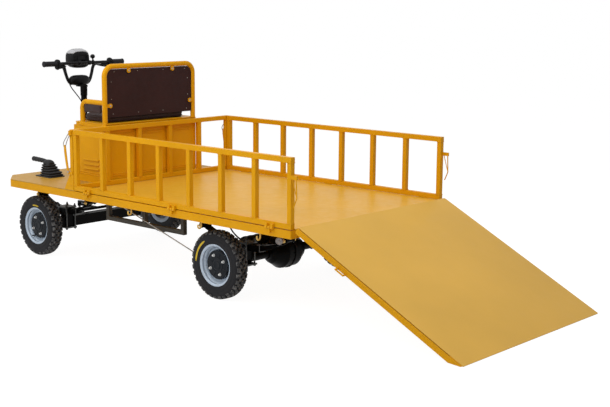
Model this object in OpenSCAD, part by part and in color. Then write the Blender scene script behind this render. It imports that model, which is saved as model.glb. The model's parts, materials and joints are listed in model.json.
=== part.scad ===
// Electric platform truck with fold-down side fences and a loading ramp.
// X runs forward, Y to the left, Z up; the floor is at Z = 0.

/* [Bed] */
// Length of the load bed from its rear edge to the front fence
bed_len = 2000; // [1700:10:2300]
// Width over the side channels
bed_w = 1478; // [1400:2:1560]
// Height of the deck's top face above the floor
deck_z = 556; // [550:1:600]
// Thickness of the deck plate
deck_t = 6; // [4:1:8]
// Depth of the side channels
chan_h = 50; // [44:1:56]
// Width of the side channels
chan_w = 40; // [34:1:48]
// Width of the spring rails
rail_w = 60; // [50:2:70]
// Width of the cross tubes
cross_w = 30; // [24:2:36]

/* [Front deck] */
// Length of the front deck ahead of the front fence
apron_len = 900; // [880:5:960]
// Length of the corner chamfer along the side
chamfer_x = 160; // [120:5:200]
// Depth of the corner chamfer across the front
chamfer_y = 125; // [90:5:150]

/* [Fences] */
// Height of the side fences
fence_h = 413; // [380:1:450]
// Side of the square fence tubes
post_s = 32; // [28:1:34]
// Posts in each side fence
side_posts = 8; // [5:1:9]
// Posts in the front fence
front_posts = 6; // [4:1:7]
// Gap under the side fences
fence_lift = 6; // [6:0.5:8]
// Gap between the side fences and the pieces beside them
fence_gap = 6; // [6:0.5:8]
// Radius of the fence hinge pins
fence_pin_r = 5; // [4.5:0.5:6]
// Distance of the hinge pins outside the side channels
fence_pin_out = 12; // [12:0.5:16]

/* [Ramp] */
// Length of the ramp from its hinge to its tip
ramp_len = 1264; // [1180:2:1340]
// Width of the ramp
ramp_w = 1450; // [1300:2:1450]
// Height of the ramp's edge tubes
ramp_tube_h = 36; // [32:1:40]
// Width of the ramp's edge tubes
ramp_tube_w = 30; // [26:1:36]
// Thickness of the ramp plate
ramp_t = 5; // [4:0.5:5]
// Distance of the ramp's hinge behind the bed
ramp_back = 35; // [34:0.5:38]
// Height of the ramp's hinge above the side channels
ramp_pin_up = 1.5; // [0.5:0.5:4]
// Distance from the ramp's hinge to its upper face
ramp_rise = 18; // [18:0.5:20]
// Radius of the ramp's hinge pins
ramp_pin_r = 8; // [7:0.5:8]

/* [Wheels] */
// Radius of the tyres
tyre_r = 217; // [212:1:222]
// Width of the tyres
tyre_w = 88; // [84:1:92]
// Radius of the rim flanges
rim_r = 138; // [134:0.5:142]
// Distance of the wheel centres from the truck's middle
track_half = 590; // [588:1:600]
// Distance of the rear axle from the bed's rear edge
rear_axle_x = 735; // [700:5:780]
// Distance of the front axle ahead of the front fence
front_axle_ahead = 598; // [590:1:606]
// Radius of the wheel spindles
spindle_r = 12.5; // [11:0.5:14]

/* [Running gear] */
// Side of the front axle beam
beam_s = 75; // [66:1:80]
// Radius of the rear axle tube
axle_r = 27.5; // [24:0.5:30]
// Radius of the differential housing
diff_r = 110; // [100:1:120]
// Distance of the springs from the truck's middle
spring_y = 356; // [340:1:360]
// Width of the spring leaves
leaf_w = 60; // [50:1:64]
// Thickness of one spring leaf
leaf_t = 8; // [7:0.5:9]
// Half length of the front springs
front_spring = 287; // [275:1:300]
// Half length of the rear springs
rear_spring = 370; // [350:1:390]
// Rise of the spring eyes above the middle of the spring
spring_rise = 71; // [60:1:80]
// Height of the blocks between the axles and the springs
spring_seat = 25; // [16:1:30]
// Distance of the kingpins from the truck's middle
king_y = 490; // [488:1:500]
// Length of the steering arms
arm_len = 90; // [86:1:94]

/* [Under the bed] */
// Side of the hanging frames' tubes
hang_s = 30; // [26:1:34]
// Drop of the hanging frames below the bed
hang_drop = 168; // [140:2:200]
// Distance of the hanging frames from the truck's middle
hang_y = 500; // [490:2:510]
// Distance of the brake cables' front ends from the truck's middle
cable_y = 548; // [540:2:560]
// Radius of the brake cables
cable_r = 4; // [3:0.5:5]
// Radius of the tie rod
tie_r = 11; // [9:0.5:12]

/* [Seat] */
// Width of the seat box
box_w = 850; // [800:2:900]
// Depth of the seat box
box_d = 355; // [330:1:380]
// Height of the lid on the seat box
lid_h = 25; // [20:1:30]
// Height of the seat box
box_h = 399; // [370:1:430]
// Height of the backrest hoop above the seat box
hoop_h = 415; // [400:1:460]
// Diameter of the hoop tube
hoop_d = 36; // [30:1:38]
// Thickness of the seat cushion
cushion_t = 66; // [55:1:66]
// Height of the armrests above the seat box
arm_h = 145; // [140:1:180]
// Width of the battery pack
battery_w = 600; // [500:10:700]
// Height of the battery pack
battery_h = 200; // [180:10:240]

/* [Steering] */
// Distance of the steering column ahead of the front axle
col_x = 227; // [222:1:232]
// Radius of the steering shaft
shaft_r = 17; // [15:0.5:18]
// Half width of the handlebar
bar_half = 374; // [350:1:400]
// Height of the grips above the floor
grip_z = 1361; // [1350:1:1400]
// Radius of the handlebar tube
bar_r = 12; // [11:0.5:13]
// Height of the cover over the handlebar clamp
pod_h = 73; // [66:1:76]

/* [Fits] */
// Radial clearance of pins and shafts that turn
run_fit = 0.05; // [0.02:0.01:0.1]
// Clearance between round pieces that do not turn
still_fit = 0.3; // [0.3:0.05:0.6]

/* [Hidden] */
$fn = 72;
half_w = bed_w / 2;
chan_top = deck_z - deck_t;
chan_bot = chan_top - chan_h;
fence_y = half_w - post_s;
fence_z = chan_top + fence_lift;
fence_top = fence_z + fence_h;
side_len = bed_len - fence_gap;
fence_pin_y = half_w + fence_pin_out;
fence_pin_z = chan_top + fence_lift / 2;
apron_x = bed_len + apron_len;
front_axle_x = bed_len + front_axle_ahead;
column_x = front_axle_x + col_x;
box_x = bed_len + post_s + 8;
box_top = deck_z + box_h;
seat_z = box_top + lid_h;
lid_d = box_d - 17;
hoop_x = box_x + hoop_d / 2 - 2;
hoop_y = box_w / 2 - 12;
arm_x = box_x + box_d - 89;
hoop_top = seat_z + hoop_h - hoop_d / 2;
lamp_x = column_x + 120;

// The ramp's slope follows from its hinge height and its length.
ramp_pin_z = chan_top + ramp_pin_up;
ramp_k = ramp_rise - ramp_t;
ramp_start = -8;
ramp_cross_start = 26;
ramp_tube_end = ramp_len - 80;
ramp_low = ramp_rise - ramp_tube_h;
ramp_a = asin(ramp_pin_z / sqrt(ramp_len * ramp_len + ramp_k * ramp_k)) + atan2(ramp_k, ramp_len);
ramp_tip_x = -ramp_back - ramp_len * cos(ramp_a) - ramp_rise * sin(ramp_a);
x_shift = -(lamp_x + ramp_tip_x) / 2;

// Columns: distance along the bed.
fence_hinges = [158, side_len / 2, side_len - 152];
// Columns: distance across the bed.
ramp_hinges = [-600, -200, 200, 600];
// Columns: distance along the bed.
hang_x = [rear_axle_x + 425, (rear_axle_x + bed_len + 346) / 2, bed_len - 79];
cross_x = concat(
    [rear_axle_x - rear_spring, rear_axle_x + 20, front_axle_x - front_spring, front_axle_x], hang_x
);
// Columns: distance along the bed.
rope_hook_x = [259, 760, bed_len - 580];

spring_z = tyre_r + beam_s / 2 + spring_seat;
pack_h = 5 * leaf_t;
eye_z = spring_z + pack_h + spring_rise;
tie_z = tyre_r + 43;
arm_z = tie_z + tie_r + 4;
column_low = arm_z;
column_high = grip_z - 168;

module at_truck() {
    translate([x_shift, 0, 0]) children();
}

module both_sides() {
    children();
    mirror([0, 1, 0]) children();
}

// A box given by its low and high corners.
module span(a, b) {
    translate(a) cube(b - a);
}

// A round bar between two points.
module bar(a, b, r) {
    d = b - a;
    l = norm(d);
    translate(a) rotate([0, acos(d[2] / l), atan2(d[1], d[0])]) cylinder(h = l, r = r);
}

// A round bar across the truck.
module cross_bar(x, y0, y1, z, r) {
    translate([x, y0, z]) rotate([-90, 0, 0]) cylinder(h = y1 - y0, r = r);
}

// A round bar along the truck.
module long_bar(x0, x1, y, z, r) {
    translate([x0, y, z]) rotate([0, 90, 0]) cylinder(h = x1 - x0, r = r);
}

// A rectangle with round corners, centred.
module round_rect(w, h, r) {
    square([w - 2 * r, h], center = true);
    square([w, h - 2 * r], center = true);
    for (x = [-1, 1], y = [-1, 1])
        translate([x * (w / 2 - r), y * (h / 2 - r)]) circle(r = r);
}

module deck_outline(x0) {
    polygon([
        [x0, -half_w], [apron_x - chamfer_x, -half_w], [apron_x, chamfer_y - half_w],
        [apron_x, half_w - chamfer_y], [apron_x - chamfer_x, half_w], [x0, half_w]
    ]);
}

module bed_channels() {
    color("goldenrod") at_truck() both_sides()
        span([0, half_w - chan_w, chan_bot], [apron_x - chamfer_x, half_w, chan_top]);
}

module end_beams() {
    sx = apron_x - chamfer_x;
    fy = half_w - chamfer_y;
    in = half_w - chan_w;
    color("goldenrod") at_truck() {
        span([0, -in, chan_bot], [chan_w, in, chan_top]);
        // Front skirt with its two chamfered corners.
        translate([0, 0, chan_bot]) linear_extrude(chan_h) polygon([
            [sx, -half_w], [apron_x, -fy], [apron_x, fy], [sx, half_w],
            [sx, in], [apron_x - chan_w, fy - chan_w / 2], [apron_x - chan_w, chan_w / 2 - fy], [sx, -in]
        ]);
    }
}

module spring_rails() {
    color("goldenrod") at_truck() both_sides()
        span([chan_w, spring_y - rail_w / 2, chan_bot],
            [apron_x - chan_w, spring_y + rail_w / 2, chan_top]);
}

module cross_tubes() {
    color("goldenrod") at_truck() for (x = cross_x) translate([x - cross_w / 2, 0, chan_bot]) {
        both_sides() span([0, spring_y + rail_w / 2, 0], [cross_w, half_w - chan_w, chan_h]);
        span([0, rail_w / 2 - spring_y, 0], [cross_w, spring_y - rail_w / 2, chan_h]);
    }
}

module bed_plate() {
    color("gold") at_truck()
        span([0, fence_gap - fence_y, chan_top], [bed_len - fence_gap, fence_y - fence_gap, deck_z]);
}

module front_deck() {
    color("gold") at_truck() difference() {
        translate([0, 0, chan_top]) linear_extrude(deck_t) deck_outline(bed_len - fence_gap);
        translate([column_x, 0, chan_top - 1]) cylinder(h = deck_t + 2, r = shaft_r + 6 + still_fit);
    }
}

module front_posts_bars() {
    pitch = (bed_w - post_s) / (front_posts - 1);
    color("gold") at_truck() for (i = [0 : front_posts - 1])
        translate([bed_len, -half_w + i * pitch, deck_z + post_s])
            cube([post_s, post_s, fence_top - deck_z - 2 * post_s]);
}

module front_rails() {
    color("gold") at_truck() {
        span([bed_len, -half_w, deck_z], [bed_len + post_s, half_w, deck_z + post_s]);
        span([bed_len, -half_w, fence_top - post_s], [bed_len + post_s, half_w, fence_top]);
        both_sides() translate([bed_len + post_s, half_w, deck_z]) rotate([90, 0, 0]) linear_extrude(6)
            polygon([[0, 0], [72, 0], [0, 122]]);
    }
}

module seat_box() {
    wall = 4;
    color("gold") at_truck() {
        difference() {
            union() {
                span([box_x, -box_w / 2, deck_z], [box_x + box_d, box_w / 2, box_top]);
                translate([box_x + lid_d / 2, 0, box_top - 1]) linear_extrude(lid_h + 1)
                    round_rect(lid_d, box_w, 16);
            }
            span([box_x + wall, wall - box_w / 2, deck_z - 1],
                [box_x + box_d - wall, box_w / 2 - wall, box_top - wall]);
            translate([box_x + lid_d / 2, 0, box_top - wall - 1]) linear_extrude(lid_h + 1)
                round_rect(lid_d - 2 * wall, box_w - 2 * wall, 12);
        }
        // Pressed cooling louvres on both sides.
        both_sides() for (i = [0 : 2])
            translate([box_x + 75, box_w / 2, deck_z + 90 + i * 32]) rotate([90, 0, 90]) linear_extrude(170)
                polygon([[0, 0], [9, 2], [9, 5], [0, 18]]);
    }
}

module battery_pack() {
    color("dimgray") at_truck()
        span([box_x + 40, -battery_w / 2, deck_z], [box_x + box_d - 40, battery_w / 2, deck_z + battery_h]);
}

module seat_cushion() {
    color("sienna") at_truck() translate([box_x + 34, 0, seat_z]) linear_extrude(cushion_t)
        translate([lid_d / 2 - 16.5, 0]) round_rect(lid_d - 33, box_w - 112, 30);
}

module hoop_corner(y, turn) {
    translate([hoop_x, y, hoop_top - 70]) rotate([0, 0, 90]) rotate([90, 0, 0]) rotate([0, 0, turn])
        rotate_extrude(angle = 90) translate([70, 0]) circle(d = hoop_d);
}

module seat_hoop() {
    r = hoop_d / 2;
    color("gold") at_truck() {
        both_sides() {
            translate([hoop_x, hoop_y, seat_z]) cylinder(h = hoop_h - r - 70, r = r);
            long_bar(hoop_x, arm_x - 50, hoop_y, seat_z + arm_h, r);
            translate([arm_x - 50, hoop_y, seat_z + arm_h - 50]) rotate([90, 0, 0])
                rotate_extrude(angle = 90) translate([50, 0]) circle(d = hoop_d);
            translate([arm_x, hoop_y, seat_z]) cylinder(h = arm_h - 50, r = r);
            // Tabs that hold the back board.
            span([hoop_x - 11, 192, hoop_top - 44], [hoop_x - 6, 216, hoop_top]);
            span([hoop_x - 11, hoop_y - 52, seat_z + 113], [hoop_x - 6, hoop_y, seat_z + 137]);
        }
        hoop_corner(hoop_y - 70, 0);
        hoop_corner(70 - hoop_y, 90);
        cross_bar(hoop_x, 70 - hoop_y, hoop_y - 70, hoop_top, r);
    }
}

module back_board() {
    low = seat_z + 43;
    high = hoop_top - hoop_d / 2 - 1.5;
    w = 2 * hoop_y - hoop_d - 3;
    color("saddlebrown") at_truck() translate([hoop_x - 6, 0, 0]) rotate([90, 0, 90]) linear_extrude(12) {
        translate([0, (low + high) / 2]) round_rect(w, high - low, 54);
        translate([0, low + 60]) round_rect(w, 120, 12);
    }
}

module back_pad() {
    low = seat_z + cushion_t + 6;
    high = hoop_top - 30;
    color("sienna") at_truck() translate([hoop_x + 6, 0, (low + high) / 2]) rotate([90, 0, 90])
        linear_extrude(56) round_rect(2 * hoop_y - 90, high - low, 30);
}

module arm_pads() {
    low = seat_z + 77;
    high = seat_z + arm_h;
    back = hoop_x + 46;
    front = arm_x - 52;
    color("sienna") at_truck() both_sides() difference() {
        translate([(back + front) / 2, hoop_y + 12, (low + high) / 2]) rotate([90, 0, 0])
            linear_extrude(24) round_rect(front - back, high - low, 14);
        long_bar(hoop_x, arm_x, hoop_y, high, hoop_d / 2 + still_fit);
    }
}

module parking_brake() {
    y = 457;
    rib = 17;
    color("dimgray") at_truck() translate([front_axle_x, y, deck_z]) {
        span([-40, -69, 0], [147, 69, 6]);
        // Bellows: its front is upright and its rear slopes forward.
        for (i = [0 : 4]) {
            low = 6 + i * rib;
            back = -34 + i * 22;
            wide = 124 - i * 16;
            translate([(104 + back) / 2, 0, low]) linear_extrude(rib - 7) round_rect(104 - back, wide, 14);
            translate([(104 + back) / 2, 0, low + rib - 7]) linear_extrude(7)
                round_rect(88 - back, wide - 16, 12);
        }
        translate([78, 0, 6 + 5 * rib]) linear_extrude(14) round_rect(60, 40, 14);
        bar([76, 0, 6 + 5 * rib], [118, 0, 116], 13);
        translate([118, 0, 116]) sphere(r = 13.2);
        bar([118, 0, 116], [258, 0, 109], 14);
    }
}

module column_tower() {
    r = shaft_r + 6;
    color("dimgray") at_truck() {
        difference() {
            union() {
                translate([column_x, 0, column_low + 70])
                    cylinder(h = column_high - column_low - 140, r = r);
                translate([column_x, 0, deck_z]) cylinder(h = 10, r = 60);
                for (a = [0, 120, 240]) translate([column_x, 0, deck_z]) rotate([90, 0, a + 180])
                    translate([0, 0, -3]) linear_extrude(6)
                        polygon([[r - 4, 4], [58, 4], [58, 14], [r - 4, 110]]);
            }
            translate([column_x, 0, column_low])
                cylinder(h = column_high - column_low, r = shaft_r + run_fit);
        }
    }
}

module front_axle() {
    s = beam_s / 2;
    end_y = king_y - 40;
    color("dimgray") at_truck() {
        span([front_axle_x - s, -end_y, tyre_r - s], [front_axle_x + s, end_y, tyre_r + s]);
        both_sides() {
            // Fork that holds the kingpin above and below.
            for (z = [tyre_r + 35, tyre_r - 47]) difference() {
                union() {
                    span([front_axle_x - 24, end_y - 30, z], [front_axle_x + 24, king_y, z + 12]);
                    translate([front_axle_x, king_y, z]) cylinder(h = 12, r = 24);
                }
                translate([front_axle_x, king_y, z - 1]) cylinder(h = 14, r = 10 + run_fit);
            }
            span([front_axle_x - 24, end_y - 30, tyre_r - 47], [front_axle_x + 24, end_y - 6, tyre_r]);
            span([front_axle_x - s, spring_y - leaf_w / 2, tyre_r],
                [front_axle_x + s, spring_y + leaf_w / 2, spring_z]);
        }
    }
}

module rear_axle() {
    low = tyre_r;
    color("dimgray") at_truck() {
        cross_bar(rear_axle_x, -track_half + 60, track_half - 60, low, axle_r);
        // Differential housing, round about the axle.
        translate([rear_axle_x, 0, low]) rotate([-90, 0, 0]) rotate_extrude() polygon([
            [0, -170], [axle_r + 8, -170], [axle_r + 12, -150], [66, -132], [diff_r - 14, -78],
            [diff_r, -58], [diff_r, 58], [diff_r - 14, 78], [66, 132], [axle_r + 12, 150],
            [axle_r + 8, 170], [0, 170]
        ]);
        // Drive motor ahead of the housing.
        cross_bar(rear_axle_x + 150, -20, 210, low + 25, 74);
        cross_bar(rear_axle_x + 150, 210, 222, low + 25, 62);
        span([rear_axle_x + 40, -50, low - 45], [rear_axle_x + 190, 50, low + 70]);
        both_sides() {
            cross_bar(rear_axle_x, track_half - 60, track_half - 42, low, 85);
            cross_bar(rear_axle_x, track_half - 42, track_half + 12, low, spindle_r);
            span([rear_axle_x - 30, spring_y - leaf_w / 2, low],
                [rear_axle_x + 30, spring_y + leaf_w / 2, spring_z]);
        }
    }
}

// One leaf spring with a flat middle; half is the distance from the middle to each eye.
module leaf_spring(half) {
    run = half - 60;
    big = (run * run + spring_rise * spring_rise) / (2 * spring_rise);
    reach = asin(run / big);
    for (i = [0 : 4]) {
        top = spring_z + pack_h - i * leaf_t;
        translate([-60, -leaf_w / 2, top - leaf_t]) cube([120, leaf_w, leaf_t]);
        for (m = [0, 1]) mirror([m, 0, 0])
            translate([60, leaf_w / 2, spring_z + pack_h + big]) rotate([90, 0, 0]) rotate([0, 0, -90])
                linear_extrude(leaf_w) leaf_arc(big + i * leaf_t, reach * (1 - 0.19 * i));
    }
    for (m = [-1, 1]) cross_bar(m * half, -leaf_w / 2, leaf_w / 2, eye_z, 15);
}

module leaf_arc(r, a) {
    difference() {
        circle(r = r + leaf_t, $fn = 180);
        circle(r = r, $fn = 180);
        rotate([0, 0, 0]) translate([-2 * r, -4 * r]) square([4 * r, 4 * r]);
        rotate([0, 0, a]) translate([-2 * r, 0]) square([4 * r, 4 * r]);
        translate([-4 * r, -2 * r]) square([4 * r, 4 * r]);
    }
}

module leaf_springs() {
    color("dimgray") at_truck() both_sides() {
        translate([front_axle_x, spring_y, 0]) leaf_spring(front_spring);
        translate([rear_axle_x, spring_y, 0]) leaf_spring(rear_spring);
    }
}

module spring_hanger(x) {
    for (s = [-1, 1]) translate([x, spring_y + s * (leaf_w / 2 + 3), 0]) {
        span([-20, -3, eye_z], [20, 3, chan_bot]);
        cross_bar(0, -3, 3, eye_z, 20);
        cross_bar(0, s > 0 ? 3 : -11, s > 0 ? 11 : -3, eye_z, 11);
    }
}

module spring_hangers() {
    color("dimgray") at_truck() both_sides() {
        spring_hanger(front_axle_x - front_spring);
        spring_hanger(front_axle_x + front_spring);
        spring_hanger(rear_axle_x - rear_spring);
        spring_hanger(rear_axle_x + rear_spring);
    }
}

module spring_clamp(x, low, leg) {
    top = spring_z + pack_h;
    translate([x, spring_y, 0]) {
        span([-56, -46, top], [56, 46, top + 10]);
        span([-56, -46, low - 10], [56, 46, low]);
        for (dx = [-leg, leg], dy = [-37.5, 37.5])
            translate([dx, dy, low - 20]) cylinder(h = top - low + 50, r = 5.5);
    }
}

module spring_clamps() {
    color("gray") at_truck() both_sides() {
        spring_clamp(front_axle_x, tyre_r - beam_s / 2, beam_s / 2 + 8);
        spring_clamp(rear_axle_x, tyre_r - axle_r, axle_r + 12);
    }
}

module hanging_frames() {
    low = chan_bot - hang_drop;
    h = hang_s / 2;
    color("gray") at_truck() both_sides() {
        span([hang_x[0] - h, hang_y - h, low], [hang_x[2] + h, hang_y + h, low + hang_s]);
        for (x = hang_x)
            span([x - h, hang_y - h, low + h], [x + h, hang_y + h, chan_bot]);
    }
}

module brake_cables() {
    y = track_half - 60;
    front = hang_x[2] - cross_w / 2;
    color("dimgray") at_truck() both_sides() {
        span([front - 50, cable_y - 8, chan_bot - 14], [front, cable_y + 8, chan_bot + 14]);
        bar([front - 36, cable_y, chan_bot], [rear_axle_x + 62, y - 6, tyre_r - 50], cable_r);
        span([rear_axle_x + 48, y - 12, tyre_r - 62], [rear_axle_x + 72, y, tyre_r + 20]);
    }
}

module rope_hooks() {
    color("gold") at_truck() both_sides() for (x = rope_hook_x) translate([x, half_w - 20, 0]) {
        translate([0, 0, chan_bot - 24]) cylinder(h = 24, r = 5);
        translate([0, 14, chan_bot - 24]) rotate([90, 0, 90]) rotate([0, 0, 180])
            rotate_extrude(angle = 180) translate([14, 0]) circle(r = 5);
        translate([0, 28, chan_bot - 24]) cylinder(h = 10, r = 5);
    }
}

module fence_pins() {
    color("goldenrod") at_truck() both_sides() for (x = fence_hinges) {
        span([x - 8, half_w, fence_pin_z - 30], [x + 8, fence_pin_y + 5, fence_pin_z - 6]);
        long_bar(x - 8, x + 8, fence_pin_y, fence_pin_z, fence_pin_r + 4);
        long_bar(x - 31, x + 31, fence_pin_y, fence_pin_z, fence_pin_r);
    }
}

module ramp_pins() {
    color("goldenrod") at_truck() for (y = ramp_hinges) {
        span([-ramp_back, y - 15, chan_bot + 10], [0, y + 15, chan_top - 15]);
        span([-ramp_back - 10, y - 15, chan_bot + 10], [-ramp_back + 8, y + 15, ramp_pin_z]);
        cross_bar(-ramp_back, y - 15, y + 15, ramp_pin_z, ramp_pin_r + 4);
        cross_bar(-ramp_back, y - 42, y + 42, ramp_pin_z, ramp_pin_r);
    }
}

module corner_latches() {
    y = half_w + 9;
    // Columns: distance ahead of the front fence, height below its top.
    hook = [[16, 12], [44, 48], [88, 88], [86, 112], [70, 126]];
    color("goldenrod") at_truck() both_sides() translate([bed_len, 0, 0]) {
        span([4, half_w, fence_top - 40], [28, half_w + 12, fence_top - 4]);
        for (i = [0 : 3])
            bar([hook[i][0], y, fence_top - hook[i][1]],
                [hook[i + 1][0], y, fence_top - hook[i + 1][1]], 5);
        for (i = [1 : 4]) translate([hook[i][0], y, fence_top - hook[i][1]]) sphere(r = 5.2);
        bar([71, y, fence_top - 122], [40, y, fence_top - 294], 7);
        span([20, half_w, fence_top - 306], [52, half_w + 14, fence_top - 290]);
        span([4, half_w, fence_top - 306], [28, half_w + 6, fence_top - 290]);
    }
}

module steer_column() {
    color("lightgray") at_truck() {
        translate([column_x, 0, column_low]) cylinder(h = column_high - column_low, r = shaft_r);
        // Arm at the foot that moves the tie rod.
        span([column_x, -14, column_low], [column_x + arm_len, 14, column_low + 14]);
        translate([column_x + arm_len, 0, column_low]) cylinder(h = 14, r = 14);
        translate([column_x + arm_len, 0, tie_z - 13]) cylinder(h = arm_z - tie_z + 15, r = 6);
        // Stem that carries the handlebar.
        span([column_x - 20, -22, column_high - 14], [column_x + 68, 22, column_high]);
    }
}

// Points of the left half of the handlebar, from the middle to the bend at the grip.
bar_path = [
    [column_x + 55, 0, column_high + bar_r],
    [column_x + 55, 84, column_high + bar_r],
    [column_x + 57, 134, grip_z - 34],
    [column_x + 50, 150, grip_z - 12],
    [column_x - 13, 200, grip_z]
];

module handlebar() {
    color("silver") at_truck() {
        both_sides() {
            for (i = [1 : 3]) bar(bar_path[i], bar_path[i + 1], bar_r);
            for (i = [1 : 4]) translate(bar_path[i]) sphere(r = bar_r + 0.2);
        }
        cross_bar(column_x - 13, -bar_half, bar_half, grip_z, bar_r);
        cross_bar(column_x + 55, -84, 84, column_high + bar_r, bar_r);
    }
}

module grips() {
    x = column_x - 13;
    color("dimgray") at_truck() both_sides() difference() {
        cross_bar(x, bar_half - 112, bar_half + 4, grip_z, 20);
        cross_bar(x, bar_half - 113, bar_half, grip_z, bar_r + still_fit);
    }
}

module hand_controls() {
    x = column_x - 13;
    y = bar_half - 112;
    color("dimgray") at_truck() {
        both_sides() {
            difference() {
                union() {
                    cross_bar(x, y - 30, y, grip_z, 19);
                    span([x, y - 26, grip_z - 8], [x + 44, y - 6, grip_z + 8]);
                }
                cross_bar(x, y - 31, y + 1, grip_z, bar_r + still_fit);
            }
            bar([x + 40, y - 16, grip_z], [x + 46, y + 20, grip_z], 7);
            bar([x + 46, y + 19, grip_z], [x + 40, bar_half - 4, grip_z - 2], 5);
        }
        // Horn button on a short stalk.
        difference() {
            union() {
                cross_bar(x, -92, -74, grip_z, 18);
                bar([x, -83, grip_z + 14], [x, -81, grip_z + 40], 5);
            }
            cross_bar(x, -93, -73, grip_z, bar_r + still_fit);
        }
        translate([x, -80, grip_z + 46]) sphere(r = 16);
    }
}

module headlamp() {
    z = grip_z - 42;
    x = column_x - 13;
    color("dimgray") at_truck() difference() {
        union() {
            intersection() {
                translate([lamp_x, 90, z]) rotate([90, 0, 0]) linear_extrude(180) polygon([
                    [-14, 0], [0, 18], [0, 112], [-26, 146], [-66, 146], [-100, 100], [-100, 22], [-84, 0]
                ]);
                translate([lamp_x - 104, 0, z + 73]) rotate([90, 0, 90]) linear_extrude(108)
                    round_rect(180, 146, 54);
            }
            // Clamps on the handlebar.
            both_sides() span([x - 18, 34, grip_z - 18], [lamp_x - 90, 58, grip_z + 18]);
        }
        cross_bar(x, -70, 70, grip_z, bar_r + still_fit);
    }
}

// Cover over the handlebar clamp, with room for the bar in it.
module bar_pod() {
    r = bar_r + still_fit;
    color("dimgray") at_truck() difference() {
        translate([column_x + 55, 0, column_high]) linear_extrude(pod_h) round_rect(70, 200, 34);
        cross_bar(column_x + 55, -84, 84, column_high + bar_r, r);
        both_sides() {
            translate(bar_path[1]) sphere(r = r + 0.2);
            bar(bar_path[1], bar_path[2], r);
        }
    }
}

module knuckle() {
    x = front_axle_x;
    translate([x, king_y, tyre_r - 30]) cylinder(h = 60, r = 24);
    translate([x, king_y, tyre_r - 52]) cylinder(h = arm_z - tyre_r + 60, r = 10);
    cross_bar(x, king_y, track_half - 60, tyre_r, 20);
    cross_bar(x, track_half - 60, track_half - 42, tyre_r, 85);
    cross_bar(x, track_half - 42, track_half + 12, tyre_r, spindle_r);
    // Steering arm on top of the kingpin.
    span([x, king_y - 13, arm_z], [x + arm_len, king_y + 13, arm_z + 14]);
    translate([x, king_y, arm_z]) cylinder(h = 14, r = 20);
    translate([x + arm_len, king_y, arm_z]) cylinder(h = 14, r = 13);
    translate([x + arm_len, king_y, tie_z - 13]) cylinder(h = arm_z - tie_z + 15, r = 6);
}

module knuckle_left() {
    color("dimgray") at_truck() knuckle();
}

module knuckle_right() {
    color("dimgray") at_truck() mirror([0, 1, 0]) knuckle();
}

module tie_eye(x, y) {
    translate([x, y, tie_z - tie_r - 0.5]) cylinder(h = 2 * tie_r + 1, r = 15);
}

module tie_rod() {
    x = front_axle_x + arm_len;
    far = column_x + arm_len;
    color("dimgray") at_truck() difference() {
        union() {
            cross_bar(x, -king_y, king_y, tie_z, tie_r);
            long_bar(x, far, 0, tie_z, tie_r - 1);
            tie_eye(x, king_y);
            tie_eye(x, -king_y);
            tie_eye(far, 0);
        }
        for (y = [-king_y, king_y])
            translate([x, y, tie_z - 20]) cylinder(h = 40, r = 6 + run_fit);
        translate([far, 0, tie_z - 20]) cylinder(h = 40, r = 6 + run_fit);
    }
}

module tyre_shape() {
    h = tyre_w / 2;
    bead = rim_r - 13.7;
    rotate_extrude() polygon([
        [bead, -36], [rim_r + still_fit, -36], [rim_r + 6, -h + 3], [rim_r + 24, -h],
        [tyre_r - 34, -h], [tyre_r - 16, -h + 4],
        [tyre_r - 4, -h + 14], [tyre_r, -h + 26], [tyre_r, h - 26], [tyre_r - 4, h - 14],
        [tyre_r - 16, h - 4], [tyre_r - 34, h], [rim_r + 24, h], [rim_r + 6, h - 3],
        [rim_r + still_fit, 36], [bead, 36]
    ]);
}

module rim_shape() {
    b = spindle_r + run_fit;
    rotate_extrude() polygon([
        [b, -30], [40, -30], [40, -10], [88, -8], [98, -20], [104, -34], [118, -40], [rim_r, -41],
        [rim_r, -36], [rim_r - 14, -36], [rim_r - 14, 36], [rim_r, 36], [rim_r, 41], [rim_r - 7, 41],
        [rim_r - 18, 34], [rim_r - 18, 20], [112, 10], [108, -2], [103, -4], [93, -4], [92, 15],
        [88, 19], [46, 20], [45, 23], [30, 23], [28, 27], [0, 27], [0, 14], [b, 14]
    ]);
}

module at_wheel(x, side) {
    at_truck() translate([x, side * track_half, tyre_r]) rotate([-90 * side, 0, 0]) children();
}

module tyre_fl() { color("dimgray") at_wheel(front_axle_x, 1) tyre_shape(); }
module tyre_fr() { color("dimgray") at_wheel(front_axle_x, -1) tyre_shape(); }
module tyre_rl() { color("dimgray") at_wheel(rear_axle_x, 1) tyre_shape(); }
module tyre_rr() { color("dimgray") at_wheel(rear_axle_x, -1) tyre_shape(); }
module rim_fl() { color("silver") at_wheel(front_axle_x, 1) rim_shape(); }
module rim_fr() { color("silver") at_wheel(front_axle_x, -1) rim_shape(); }
module rim_rl() { color("silver") at_wheel(rear_axle_x, 1) rim_shape(); }
module rim_rr() { color("silver") at_wheel(rear_axle_x, -1) rim_shape(); }

module fence_posts() {
    pitch = (side_len - post_s) / (side_posts - 1);
    for (i = [0 : side_posts - 1])
        translate([i * pitch, fence_y, fence_z + post_s]) cube([post_s, post_s, fence_h - 2 * post_s]);
}

// Toggle on the rear end post that holds the closed ramp.
module ramp_toggle() {
    y = half_w - 4;
    // Columns: distance behind the post, height above the fence's foot.
    lever = [[36, 300], [41, 184], [17, 130]];
    span([-44, half_w - 8, fence_z + 290], [0, half_w, fence_z + 312]);
    for (i = [0, 1])
        bar([-lever[i][0], y, fence_z + lever[i][1]], [-lever[i + 1][0], y, fence_z + lever[i + 1][1]], 3.4);
    translate([-lever[1][0], y, fence_z + lever[1][1]]) sphere(r = 3.8);
    bar([-6, y, fence_z + 296], [-lever[1][0], y, fence_z + lever[1][1]], 2.5);
}

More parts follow.
